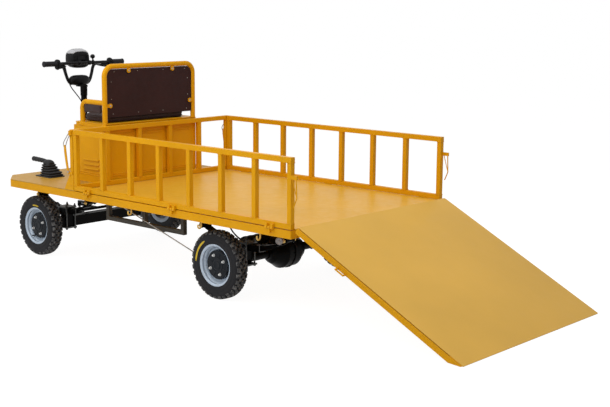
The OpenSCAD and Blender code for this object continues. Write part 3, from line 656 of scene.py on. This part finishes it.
def pad(name, lo, hi, corner, squeeze, thin, cap):
    """A padded block between two corners; its sides pull in between the corners and its faces swell."""
    lo, hi = Vector(lo), Vector(hi)
    mid, half = (lo + hi) / 2, (hi - lo) / 2
    work = bmesh.new()
    bmesh.ops.create_cube(work, size=2.0)
    bmesh.ops.subdivide_edges(work, edges=work.edges, cuts=15, use_grid_fill=True)
    axes = [i for i in range(3) if i != thin]
    for v in work.verts:
        q = [v.co[i] for i in range(3)]
        u, t = q[axes[0]], q[axes[1]]
        hu, ht = half[axes[0]], half[axes[1]]
        # Round corners of the outline.
        px, py = abs(u) * hu, abs(t) * ht
        ix, iy = hu - corner, ht - corner
        if px > ix and py > iy:
            dx, dy = px - ix, py - iy
            d = max(dx, dy) / max(1e-9, hypot(dx, dy))
            px, py = ix + dx * d, iy + dy * d
        edge = max(abs(u), abs(t))
        k = 1 - squeeze * (1 - min(abs(u), abs(t)) ** 2) * edge ** 6
        v.co[axes[0]] = mid[axes[0]] + copysign(px * k, u)
        v.co[axes[1]] = mid[axes[1]] + copysign(py * k, t)
        crown_k = 1 - 0.12 * edge ** 8
        v.co[thin] = mid[thin] + q[thin] * half[thin] * crown_k
    mesh = bpy.data.meshes.new(name)
    work.to_mesh(mesh)
    work.free()
    mesh.materials.append(M["seat"])
    obj = place(name, mesh)
    m = modify(obj, "REMESH", mode="VOXEL", voxel_size=0.006)
    bpy.context.view_layer.update()
    fine = bpy.data.meshes.new_from_object(obj.evaluated_get(bpy.context.evaluated_depsgraph_get()))
    obj.modifiers.remove(m)
    obj.data = fine
    fine.name = name
    swell(obj, cap, lo.z if thin == 2 else None)
    for v in obj.data.vertices:
        wob = noise.noise(v.co * 9.0) * 0.0022 + noise.noise(v.co * 27.0) * 0.0007
        out = (v.co - mid).normalized()
        if thin != 2 or v.co.z > lo.z + ROOM:
            v.co += out * wob
        for i in range(3):
            v.co[i] = min(max(v.co[i], lo[i] - ROOM), hi[i] + ROOM)
    obj.data.polygons.foreach_set("use_smooth", [True] * len(obj.data.polygons))
    if not obj.data.materials:
        obj.data.materials.append(M["seat"])
    return obj, mid


def surface_loop(obj, mid, level, thin, count=150):
    """Points on a pad's sides at one level, found by rays from a core line along its longer way."""
    work = bmesh.new()
    work.from_mesh(obj.data)
    tree = BVHTree.FromBMesh(work)
    work.free()
    a, b = (i for i in range(3) if i != thin)
    size = obj.dimensions
    big, small = (a, b) if size[a] > size[b] else (b, a)
    core = max(0.0, (size[big] - size[small]) / 2)
    out = []
    for q in turns(count):
        d = Vector((0, 0, 0))
        d[a], d[b] = cos(q), sin(q)
        o = mid.copy()
        o[thin] = level
        o[big] += core * max(-1.0, min(1.0, 1.6 * d[big]))
        hit = tree.ray_cast(o, d)[0]
        if hit:
            out.append(hit + d * 0.0008)
    return out


def sew(name, loops, radius):
    """Piping along closed lines."""
    sh = Shape()
    for loop in loops:
        sh.tube(loop, radius, 8, closed=True)
    sh.make(name, "chassis", "seat")


def finish_pad(obj, node):
    modify(obj, "SUBSURF", levels=1, render_levels=1)
    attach(obj, "chassis")
    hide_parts(node)


lo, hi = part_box("seat_cushion")
inset = Vector((ROOM, ROOM, 0))
top_room = Vector((0, 0, 0.014))
seat, mid = pad("seat_cushion_cover", lo + inset, hi - inset - top_room, 0.024, 0.008, 2, 0.009)
sew("seat_piping", [surface_loop(seat, mid, z, 2) for z in (hi.z - 0.034, lo.z + 0.012)], 0.0042)
finish_pad(seat, "seat_cushion")

lo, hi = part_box("back_pad")
inset = Vector((0, ROOM, ROOM))
back, mid = pad("back_pad_cover", lo + inset, hi - Vector((ROOM, ROOM, ROOM)), 0.04, 0.01, 0, 0.018)
for v in back.data.vertices:
    v.co.x = max(v.co.x, lo.x)
sew("back_piping", [surface_loop(back, mid, hi.x - 0.02, 0)], 0.004)
finish_pad(back, "back_pad")

for name, s in SIDES:
    ends = [P(2092, s * 402.5, 1051), P(2274, s * 423.5, 1116)]
    lo = Vector([min(e[i] for e in ends) for i in range(3)])
    hi = Vector([max(e[i] for e in ends) for i in range(3)])
    arm, mid = pad(f"arm_pad_{name}_cover", lo, hi, 0.014, 0.004, 1, 0.004)
    sew(f"arm_piping_{name}", [surface_loop(arm, mid, s * 0.421, 1)], 0.0022)
    finish_pad(arm, "arm_pads")

# Back board: screws round its edge and the bolts through the four tabs.
sh = Shape()
back_x = 2050
rear = Vector((-1, 0, 0))
for z, ys in ((1340, (-330, -120, 120, 330)), (1046, (-345, -115, 0, 115, 345))):
    for y in ys:
        sh.screw(P(back_x, y, z), rear, 0.003, 0.0016)
for y in (-358, 358):
    for z in (1150, 1270):
        sh.screw(P(back_x, y, z), rear, 0.003, 0.0016)
sh.make("board_screws", "chassis", "worn", angle=50)
sh = Shape()
for y, z in ((-204, 1344), (204, 1344), (-373, 1105), (373, 1105)):
    c = P(2044.5, y, z)
    sh.lathe([(0.0065, 0), (0.0145, 0), (0.016, 0.0015), (0.016, 0.0035), (0.0145, 0.0048), (0.0085, 0.0048),
              (0.007, 0.0035)], c, rear, 28, 0, closed=True)
    sh.nut(c + rear * 0.0008, rear, 0.0115, 0.0045, 1)
sh.make("board_tab_rings", "chassis", ["yellow", "worn"])

# Seat box: rolled edges of the lid, pressed lines on its sides, and the flattened feet of the hoop
sh = Shape()
x0, x1, y1 = 2040, 2395, 425
for z, r, grow in ((977, 0.0034, 0.6), (957.5, 0.0026, 0.8)):
    sh.tube(rounded(x0 + 169, 0, 338 + 2 * grow, 850 + 2 * grow, 16, z), r, 10, closed=True)
pressed = [0.0008, 0.0032, 0.0032, 0.0008]
for s in (1, -1):
    for z in (895, 909, 610, 624):
        sh.tube([P(x, s * (y1 + 0.2), z) for x in (x0 + 46, x0 + 52, x1 - 52, x1 - 46)], pressed, 10)
for z in (890, 904, 612, 626):
    sh.tube([P(x0 - 0.2, y, z) for y in (-370, -362, 362, 370)], pressed, 10)
sh.make("seat_box_trim", "chassis", "yellow", 0.0012, 2)
sh = Shape()
for s in (1, -1):
    for x in (2056, 2306):
        sh.loft([[P(x + a * cos(q), s * (cy + b * sin(q)), z) for q in turns(28)]
                 for cy, a, b, z in ((413, 18.1, 18.1, 992), (413.5, 18.3, 17.8, 983), (419, 19, 12.5, 976),
                                     (424.5, 20, 7.5, 969), (425.5, 20.5, 6.4, 960), (425.5, 19, 6, 955))])
        sh.nut(P(x, s * 431.6, 964), (0, s, 0), 0.011, 0.005, 0, 0.002)
sh.make("hoop_feet", "chassis", "yellow", angle=50)

# Parking brake: rubber bellows and bent lever, measured from the front axle
bx, by = FRONT_X, 457
sh = Shape()
sh.loft([rounded(bx + 53.5, by, w, d, 16, z) for w, d, z in
         ((187, 138, 556), (187, 138, 560), (182, 133, 562.5), (172, 124, 563))])
rings = []
for i, (back_e, wide) in enumerate(((-34, 124), (-26, 118), (-4, 110), (14, 102), (26, 92))):
    z = 562 + 17 * i
    for grow, dz in ((-6, 0), (-1, 3.5), (1.2, 7), (0.8, 10), (-3, 13), (-7, 15)):
        w = 104 - back_e + 2 * grow
        rings.append(rounded(bx + (104 + back_e) / 2, by, w, wide + 2 * grow, 22, z + dz))
for w, d, z, sx in ((72, 84, 650, 66), (68, 78, 660, 68), (56, 62, 668, 71), (36, 40, 674, 76),
                    (14, 16, 676, 80)):
    rings.append(rounded(bx + sx, by, w, d, min(w, d) / 2 - 1, z))
sh.loft(rings)
boot = sh.make("brake_boot", "chassis", "boot", angle=60)
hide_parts("parking_brake")
sh = Shape()
path = flow([P(bx + dx, by, z) for dx, z in
             ((70, 648), (92, 658), (122, 663), (165, 665.5), (214, 667), (258, 668))], 8)
n = len(path)
rad = []
for i in range(n):
    t = i / (n - 1)
    grip = 0.0152 + 0.0026 * t
    if t > 0.4:
        grip += 0.0009 * cos((t - 0.4) * 2 * pi / 0.14)
    if t > 0.95:
        grip *= sqrt(max(0.12, 1 - ((t - 0.95) / 0.052) ** 2))
    rad.append(grip)
sh.tube(path, rad, 20)
sh.lathe([(0.0055, 0), (0.0055, 0.005), (0.0035, 0.0068)], path[-1] - Vector((0.001, 0, 0)), (1, 0, 0.03),
         16, 1)
sh.make("brake_handle", "chassis", ["boot", "plastic"], angle=50)

# Handlebar: the column stands at cx, and the bar lies 13 behind it at the height gz
cx, gz = 2825, 1361
half_bar = [(55, 0, 1205), (55, 52, 1205), (55, 80, 1206), (56, 102, 1228), (57, 120, 1272), (57, 133, 1318),
            (52, 144, 1341), (36, 162, 1354), (8, 184, 1360), (-13, 206, 1361)]
left_line = flow([P(cx + x, y, z) for x, y, z in half_bar], 7) + [P(cx - 13, 370, gz)]
sh = Shape()
sh.tube([Vector((p.x, -p.y, p.z)) for p in left_line[::-1]] + left_line[1:], 0.012, 18)
sh.tube([P(cx - 13, y, gz) for y in (-206, 0, 206)], 0.0119, 18)
bar = sh.make("handlebar_tube", "steering", "gloss")
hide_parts("handlebar")
sh = Shape()
for s in (1, -1):
    ys, rs = [], []
    for i in range(45):
        t = i / 44
        ys.append(262 + 111 * t)
        r = 19.8 + 0.6 * cos(t * 2 * pi * 10)
        if t < 0.06:
            r = 22.0
        if t > 0.93:
            r = 22.0 - 4 * max(0, (t - 0.965) / 0.035) ** 2
        rs.append(r / 1000)
    sh.tube([P(cx - 13, s * y, gz) for y in ys], rs, 26)
grip = sh.make("bar_grips", "steering", "tyre", angle=60)
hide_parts("grips")

# Switch blocks, brake levers and the horn button on its stalk
sh = Shape()
for s in (1, -1):
    rings = []
    for y, hw, top_z, low_z in ((229, 17, 23, -26), (233, 21, 29, -38), (246, 23, 33, -46),
                                (257, 21, 29, -40), (261, 17, 22, -26)):
        ring = []
        for a in turns(24):
            px, pz = bulge(cos(a), 0.6) * hw, bulge(sin(a), 0.6)
            ring.append(P(cx - 13 + px + 3, s * y, gz + (pz * top_z if pz > 0 else -pz * low_z)))
        rings.append(ring)
    sh.loft(rings)
    sh.tube([P(cx - 34, s * 245, gz + 6), P(cx - 41, s * 245, gz + 7)], [0.0065, 0.006], 14)
    sh.box(P(cx - 40, s * 245 - 9, gz - 20), P(cx - 30, s * 245 + 9, gz - 10))
    lever = flow([P(cx + x, s * y, gz + z) for x, y, z in
                  ((6, 238, -5), (28, 245, -5), (35, 266, -3), (33, 295, -4), (28, 326, -4),
                   (29, 346, -3))], 7)
    k = len(lever)
    sh.tube(lever, [0.0085 - 0.0035 * min(1, 1.6 * i / k) + (0.0022 if i > k - 4 else 0)
                    for i in range(k)], 12)
    # Lever perch that runs inboard below the bar.
    inner = 166 if s > 0 else 118
    rings = []
    for t, top_z, low_z, hw in ((0, -6, -40, 9), (0.3, -9, -38, 8), (0.65, -13, -31, 6.5),
                                (0.93, -16, -24, 5), (1, -18, -22, 2)):
        y = s * (231 + (inner - 231) * t)
        mid_z, half_z = gz + (top_z + low_z) / 2, (top_z - low_z) / 2
        rings.append([P(cx - 12 + hw * cos(q), y, mid_z + half_z * sin(q)) for q in turns(16)])
    sh.loft(rings)
    # Brake hose along the front of the bar.
    sh.tube(flow([P(cx + x, s * y, gz + z) for x, y, z in
                  ((6, 232, -6), (14, 208, -4), (40, 182, -8), (66, 154, -22), (72, 136, -48), (72, 121, -90),
                   (71, 104, -126), (66, 88, -140))], 6), 0.0027, 8)
# Horn button on a ring round the bar.
ring_at = P(cx - 13, -83, gz)
sh.lathe([(0.0121, -0.008), (0.0165, -0.008), (0.0175, -0.006), (0.0175, 0.006), (0.0165, 0.008),
          (0.0121, 0.008)], ring_at, (0, 1, 0), 28, closed=True)
sh.tube([ring_at + Vector((0, 0, 0.015)), P(cx - 13, -82, gz + 24), P(cx - 13, -80, gz + 36)],
        [0.006, 0.0055, 0.007], 14)
sh.lathe([(0.006, -0.0158), (0.012, -0.0135), (0.0168, -0.0075), (0.0185, 0), (0.0168, 0.0075),
          (0.012, 0.0135), (0.005, 0.0162)], P(cx - 13, -80, gz + 46), (0, 0.2, 1), 28)
ctrl = sh.make("bar_controls", "steering", "plastic", 0.001, 2, angle=40)
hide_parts("hand_controls")


# Headlamp and instrument housing
EGG = 0.62


def egg(x, yw, z0, z1):
    """A ring of the housing: half its width, its lowest and its highest point, in millimetres."""
    zc, zh = (z0 + z1) / 2, (z1 - z0) / 2
    return [P(x, bulge(cos(a), EGG) * yw, zc + bulge(sin(a), EGG) * zh) for a in turns(40)]


HOUSING = [(2847, 48, 1346, 1414), (2845.5, 66, 1333, 1430), (2850, 78, 1324, 1444), (2864, 86, 1320, 1456),
           (2890, 89, 1319.5, 1463), (2914, 88, 1321, 1461), (2931, 84, 1328, 1451), (2938, 79, 1334, 1442)]
sh = Shape()
sh.loft([egg(*r) for r in HOUSING])
# Bezel, lens and the rider's display.
sh.loft([egg(*r) for r in ((2932, 78, 1336, 1440), (2942, 76, 1338, 1438), (2944.6, 72, 1342, 1434),
                           (2942, 68, 1346, 1430))], caps=False)
sh.loft([egg(*r) for r in ((2940, 69, 1345, 1431), (2943, 60, 1353, 1423), (2944.6, 36, 1371, 1405),
                           (2945, 9, 1385, 1391))], 1)
sh.loft([[P(x, y, z) for y, z in ((-38, zl), (38, zl), (34, zh), (-34, zh))]
         for x, zl, zh in ((2850, 1372, 1410), (2845, 1374, 1409), (2844.4, 1377, 1406))], 2)
for y in (-20, 0, 20):
    sh.lathe([(0.0035, 0), (0.0035, 0.0015), (0.002, 0.0024)], P(2845.4, y, 1364), (-1, 0, 0), 14, 3)
# Two clamps that hold the housing on the cross bar.
for s in (1, -1):
    sh.lathe([(0.0121, -0.0115), (0.0165, -0.0115), (0.0178, -0.01), (0.0178, 0.01), (0.0165, 0.0115),
              (0.0121, 0.0115)], P(cx - 13, s * 46, gz), (0, 1, 0), 32, closed=True)
    sh.loft([[P(x, s * 46 + y * w, gz + z * h) for y, z in
              ((-1, -0.7), (-0.7, -1), (0.7, -1), (1, -0.7), (1, 0.7), (0.7, 1), (-0.7, 1), (-1, 0.7))]
             for x, w, h in ((2824, 8, 12), (2832, 10, 14), (2846, 12, 17), (2856, 12, 17.5))])
    sh.nut(P(2840, s * 46, 1347), (0, 0, -1), 0.01, 0.005, 3)
lamp = sh.make("headlamp_housing", "steering", ["plastic", "lens", "gloss", "bolt"],
               angle=50)
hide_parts("headlamp")


# Pale hood over the top of the housing, with a dark ridge along its middle
def lamp_shell(rings, low, reach, out, name, mat):
    """A thin shell on rings of the housing, down to the height low or else reach degrees to each side."""
    loft = []
    for x, yw, z0, z1 in rings:
        zc, zh = (z0 + z1) / 2, (z1 - z0) / 2
        start = asin(max(0.05, (low - zc) / zh) ** (1 / EGG)) if low else radians(90 - reach)
        outer, under = [], []
        for i in range(29):
            a = start + (pi - 2 * start) * i / 28
            ca, sa = cos(a), sin(a)
            for line, off in ((outer, out), (under, -1.4)):
                line.append(P(x, bulge(ca, EGG) * yw + off * ca, zc + sa ** EGG * zh + off * sa))
        loft.append(outer + under[::-1])
    sh = Shape()
    sh.loft(loft)
    sh.make(name, "steering", mat, angle=50)


lamp_shell([(2851, 79, 1324, 1446)] + HOUSING[3:7], 1431, 0, 1.6, "lamp_hood", "pale")
lamp_shell([(2886, 88.6, 1319.5, 1462)] + HOUSING[4:], 0, 20, 2.2, "lamp_ridge", "gloss")

# Cover over the handlebar clamp
sh = Shape()
rings = []
for i in range(19):
    a = -pi / 2 + pi * i / 18
    z = 1227 + 39 * sin(a)
    k = max(0.02, abs(cos(a))) ** 0.55
    rings.append([P(cx + 55 + bulge(cos(b), 0.75) * 36 * k, bulge(sin(b), 0.75) * 92 * k, z)
                  for b in turns(48)])
sh.loft(rings)
pod = sh.make("bar_clamp_cover", "steering", "plastic", angle=60)
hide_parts("bar_pod")
sh = Shape()
sh.lathe(mm(((20.5, 0), (24.5, 0), (26.2, 2), (26.6, 12), (26.2, 15), (25.4, 17), (26.2, 19), (26.6, 40),
             (26.6, 66), (25.4, 78), (22.5, 86), (20.5, 86))), P(cx, 0, 1112), (0, 0, 1), 40, closed=True)
sh.make("column_sleeve", "steering", "black", angle=50)
sh = Shape()
for a in (60, 180, 300):
    q = radians(a)
    c = P(cx + 46 * cos(q), 46 * sin(q), 566)
    sh.lathe([(0.011, 0), (0.011, 0.0018), (0.009, 0.002)], c, (0, 0, 1), 20)
    sh.nut(c + Vector((0, 0, 0.0018)), (0, 0, 1), 0.014, 0.008, 0, 0.004)
sh.make("column_foot_bolts", "chassis", "worn")


# Hinge leaves of the side fences
def leaves(name, body, sides, low, high):
    sh = Shape()
    for s in sides:
        out = Vector((0, s, 0))
        for x in (158, 997, 1842):
            edge = [(-31, low + 3), (-28, low), (28, low), (31, low + 3), (31, high - 3), (28, high),
                    (-28, high), (-31, high - 3)]
            sh.prism([P(x + a, s * 738.4, z) for a, z in edge], out * 0.003)
            for dx in (-22, 22):
                sh.screw(P(x + dx, s * 741.3, (low + high) / 2), out, 0.0034, 0.0017)
    sh.make(name, body, "yellow", 0.0007, 2)


leaves("hinge_leaves_bed", "chassis", (1, -1), 522, 546)
leaves("hinge_leaves_left", "fence_left", (1,), 560, 585)
leaves("hinge_leaves_right", "fence_right", (-1,), 560, 585)


# Weld beads where the fence posts meet the rails
def bead(sh, x, y, z, half=16.4):
    corners = [(-1, -1), (1, -1), (1, 1), (-1, 1)]
    line = []
    for (a, b), (c, d) in zip(corners, corners[1:] + corners[:1]):
        for i in range(4):
            t = i / 4
            line.append(P(x + (a + (c - a) * t) * half, y + (b + (d - b) * t) * half, z))
    sh.tube(line, [0.0021 + 0.0009 * noise.noise(p * 90) for p in line], 6, closed=True)


for name, s in SIDES:
    sh = Shape()
    for i in range(8):
        for z in (588, 937):
            bead(sh, 16 + 1962 / 7 * i, s * FENCE_Y, z)
    sh.make(f"fence_{name}_welds", f"fence_{name}", "yellow", angle=60)
sh = Shape()
for i in range(6):
    for z in (588, 937):
        bead(sh, 2016, -FENCE_Y + 1446 / 5 * i, z)
sh.make("front_fence_welds", "chassis", "yellow", angle=60)

# Latches at the front corners: a wire loop that holds a flat lever
sh = Shape()
for s in (1, -1):
    for edge, deep in ((((4, 6), (26, 6), (28, 9), (28, 37), (25, 40), (7, 40), (4, 37)), 12),
                       (((4, 288), (48, 288), (52, 292), (52, 302), (48, 306), (8, 306), (4, 302)), 6)):
        sh.prism([P(2000 + a, s * 738.6, 969 - b) for a, b in edge], Vector((0, s * deep / 1000, 0)))
    loop = [(14, 16), (30, 26), (56, 56), (80, 84), (88, 102), (82, 120), (68, 126), (62, 110), (50, 84),
            (30, 52), (14, 34)]
    loop = flow([P(2000 + a, s * 748, 969 - b) for a, b in loop], 5, closed=True)
    sh.tube(loop, 0.0027, 10, closed=True, slot=1)
    sh.loft([[P(2000 + a + i * w, s * (748 + j * 2.6), 969 - b)
              for i, j in ((-1, -1), (1, -1), (1, 1), (-1, 1))]
             for a, b, w in ((71, 108, 6), (72, 116, 9.5), (69, 150, 10.5), (61, 200, 10.5), (52, 245, 10),
                             (43, 284, 9), (39, 298, 6))])
    sh.lathe([(0.0055, 0), (0.0055, 0.009), (0.0085, 0.0092), (0.0085, 0.0122), (0.006, 0.0138)],
             P(2042, s * 739, 681), (0, s, 0), 16, 1)
latch = sh.make("corner_latch_hooks", "chassis", ["yellow", "worn"], 0.0008, 2)
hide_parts("corner_latches")

# Springs: nuts of the clamps, straps round the leaves, pins in the eyes
down, upward = Vector((0, 0, -1)), Vector((0, 0, 1))
sh = Shape()
for s in (1, -1):
    for x, leg, low, reach, z0 in ((FRONT_X, 45.5, 179.5, 287, 292), (REAR_X, 39.5, 189.5, 370, 288)):
        for dx in (-leg, leg):
            for dy in (-37.5, 37.5):
                sh.nut(P(x + dx, s * (SPRING_Y + dy), 329.5), upward, 0.017, 0.009)
                sh.nut(P(x + dx, s * (SPRING_Y + dy), low - 10), down, 0.017, 0.008)
        for dx in (-reach, reach):
            for side_y, w in ((44, s), (-44, -s)):
                sh.nut(P(x + dx, s * (SPRING_Y + side_y), 390.5), (0, w, 0), 0.024, 0.009, 1, 0.005)
        z1 = z0 + 42
        strap = ((-33, z0), (0, z0 - 1), (33, z0), (33, z1), (0, z1 + 1), (-33, z1))
        for dx in (-150, 150):
            sh.tube([P(x + dx, s * (SPRING_Y + a), z) for a, z in strap], 0.0042, 8, closed=True)
sh.make("spring_hardware", "chassis", ["bolt", "brass"], 0.0006, 1)

# Rear axle: bolted joint round the housing and ribs on the motor
sh = Shape()
axis = Vector((0, 1, 0))
sh.lathe([(0.1085, -0.008), (0.1145, -0.007), (0.1155, 0), (0.1145, 0.007), (0.1085, 0.008)],
         P(REAR_X, 0, AXLE_Z), axis, 72, closed=True)
for q in turns(12):
    sh.nut(P(REAR_X + 112 * cos(q), 6.8, AXLE_Z + 112 * sin(q)), axis, 0.011, 0.006)
motor_x, motor_z = 885, 242
for y in (30, 90, 150, 196):
    sh.lathe([(0.0735, -0.003), (0.0762, -0.002), (0.0762, 0.002), (0.0735, 0.003)],
             P(motor_x, y, motor_z), axis, 56, closed=True)
for i in range(4):
    q = pi / 4 + pi / 2 * i
    sh.nut(P(motor_x + 50 * cos(q), 222, motor_z + 50 * sin(q)), axis, 0.011, 0.006)
sh.make("axle_hardware", "chassis", "black", 0.0005, 1)

# Nuts under the ball pins of the steering
for name, body, x, y in (("left", "knuckle_left", 2688, 490), ("right", "knuckle_right", 2688, -490),
                         ("front", "steering", 2915, 0)):
    sh = Shape()
    sh.lathe([(0.0105, 0), (0.0105, 0.0014), (0.009, 0.0018)], P(x, y, 247), down, 20)
    sh.nut(P(x, y, 245.4), down, 0.016, 0.008, 0, 0.004)
    sh.make(f"pin_nut_{name}", body, "bolt")

# Reversing buzzer under the bed
sh = Shape()
aim = Vector((-0.45, 0.85, -0.2)).normalized()
c = P(150, 672, 462)
sh.lathe([(0.004, -0.016), (0.016, -0.016), (0.021, -0.012), (0.0225, -0.002), (0.0225, 0.006),
          (0.02, 0.0085), (0.017, 0.006), (0.008, 0.0052), (0.006, 0.0075), (0.001, 0.0082)], c, aim, 32)
sh.prism([P(x, 668, z) for x, z in ((143, 500.5), (157, 500.5), (157, 470), (143, 470))],
         Vector((0, -0.003, 0)), 1)
sh.make("buzzer", "chassis", ["grey_part", "worn"], 0.0006, 1)


route = flow([P(650, 588, 549), P(647, 591, 515), P(640, 597, 484), P(622, 600, 459), P(597, 600, 436),
              P(572, 590, 412), P(556, 565, 391), P(556, 536, 368), P(582, 518, 333), P(636, 512, 300),
              P(676, 516, 284), P(690, 530, 279)], 6)
sh = Shape()
sh.tube(route, 0.0048, 12)
hose = sh.make("brake_hose", "chassis", "plastic")


# Ramp: painted shadow lines along the seams between the plate and the edge tubes
tilt = radians(26.4567)


def on_ramp(u, y, h):
    """Distance from the hinge, across and above the ramp's own plane, in millimetres."""
    return P(-35 - u * cos(tilt) - h * sin(tilt), y, 551.5 - u * sin(tilt) + h * cos(tilt))


sh = Shape()
for s in (1, -1):
    sh.tube([on_ramp(u, s * 713, 13.4) for u in (2, 8, 600, 1165, 1172)],
            [0.0004, 0.0016, 0.0016, 0.0016, 0.0004], 8)
sh.make("ramp_seam_painted_shadows", "ramp", "seam")

# Control cable from the clamp cover to the column
route = flow([P(2880, 92, 1208), P(2875, 90, 1192), P(2866, 78, 1165), P(2850, 55, 1127), P(2836, 34, 1092),
              P(2830, 25, 1074), P(2828, 21.5, 1060)], 5)
sh = Shape()
sh.tube(route, 0.004, 14)
cable = sh.make("column_cable", None, "plastic")
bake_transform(cable)


# Studio: pale floor, white surroundings, a broad soft key from the left and a fill from the far side
def seen(tree):
    """1 for rays that show the background itself, 0 for rays that light the object."""
    path = tree.nodes.new("ShaderNodeLightPath")
    total = path.outputs["Is Camera Ray"]
    for extra in ("Is Glossy Ray", "Is Transmission Ray"):
        n = tree.nodes.new("ShaderNodeMath")
        n.operation = "MAXIMUM"
        tree.links.new(total, n.inputs[0])
        tree.links.new(path.outputs[extra], n.inputs[1])
        total = n.outputs[0]
    return total


world = bpy.data.worlds.new("studio")
scene.world = world
world.use_nodes = True
tree = world.node_tree
shine = tree.nodes["Background"]
shine.inputs["Color"].default_value = (1, 1, 1, 1)
level = tree.nodes.new("ShaderNodeMapRange")
tree.links.new(seen(tree), level.inputs[0])
level.inputs[3].default_value = 0.28
tree.links.new(level.outputs[0], shine.inputs["Strength"])


def softbox(name, at, aim, wide, high, watts, glints=True):
    lamp = bpy.data.lights.new(name, "AREA")
    lamp.shape = "RECTANGLE"
    lamp.size, lamp.size_y, lamp.energy = wide, high, watts
    obj = place(name, lamp)
    obj.location = at
    obj.rotation_euler = (Vector(aim) - Vector(at)).to_track_quat("-Z", "Y").to_euler()
    obj.visible_camera = False
    obj.visible_glossy = glints


softbox("key", (0.5, 2.6, 2.2), (0.2, 0.2, 0.5), 6.0, 2.0, 56)
softbox("overhead", (-0.8, 0.6, 4.6), (-0.6, 0.0, 0.5), 6.5, 4.0, 122)
softbox("fill", (2.9, -3.2, 2.2), (0.4, 0.0, 0.6), 6.0, 2.0, 56, glints=False)

FLOOR, FLOOR_Z = 60.0, -0.0006
floor_mesh = bpy.data.meshes.new("floor")
corners = ((-1, -1), (1, -1), (1, 1), (-1, 1))
floor_mesh.from_pydata([(FLOOR * x, FLOOR * y, FLOOR_Z) for x, y in corners], [], [(0, 1, 2, 3)])
floor_obj = place("floor", floor_mesh)
floor_mat = bpy.data.materials.new("pale_floor")
floor_mat.use_nodes = True
tree = floor_mat.node_tree
tree.nodes.remove(tree.nodes["Principled BSDF"])
plain = tree.nodes.new("ShaderNodeBsdfDiffuse")
plain.inputs["Color"].default_value = (0.86, 0.86, 0.86, 1)
glow = tree.nodes.new("ShaderNodeEmission")
glow.inputs["Strength"].default_value = 1.19
blend = tree.nodes.new("ShaderNodeMixShader")
share = tree.nodes.new("ShaderNodeMath")
share.operation = "MULTIPLY"
share.inputs[1].default_value = 0.8
tree.links.new(seen(tree), share.inputs[0])
tree.links.new(share.outputs[0], blend.inputs[0])
tree.links.new(plain.outputs[0], blend.inputs[1])
tree.links.new(glow.outputs[0], blend.inputs[2])
tree.links.new(blend.outputs[0], tree.nodes["Material Output"].inputs["Surface"])
floor_mesh.materials.append(floor_mat)
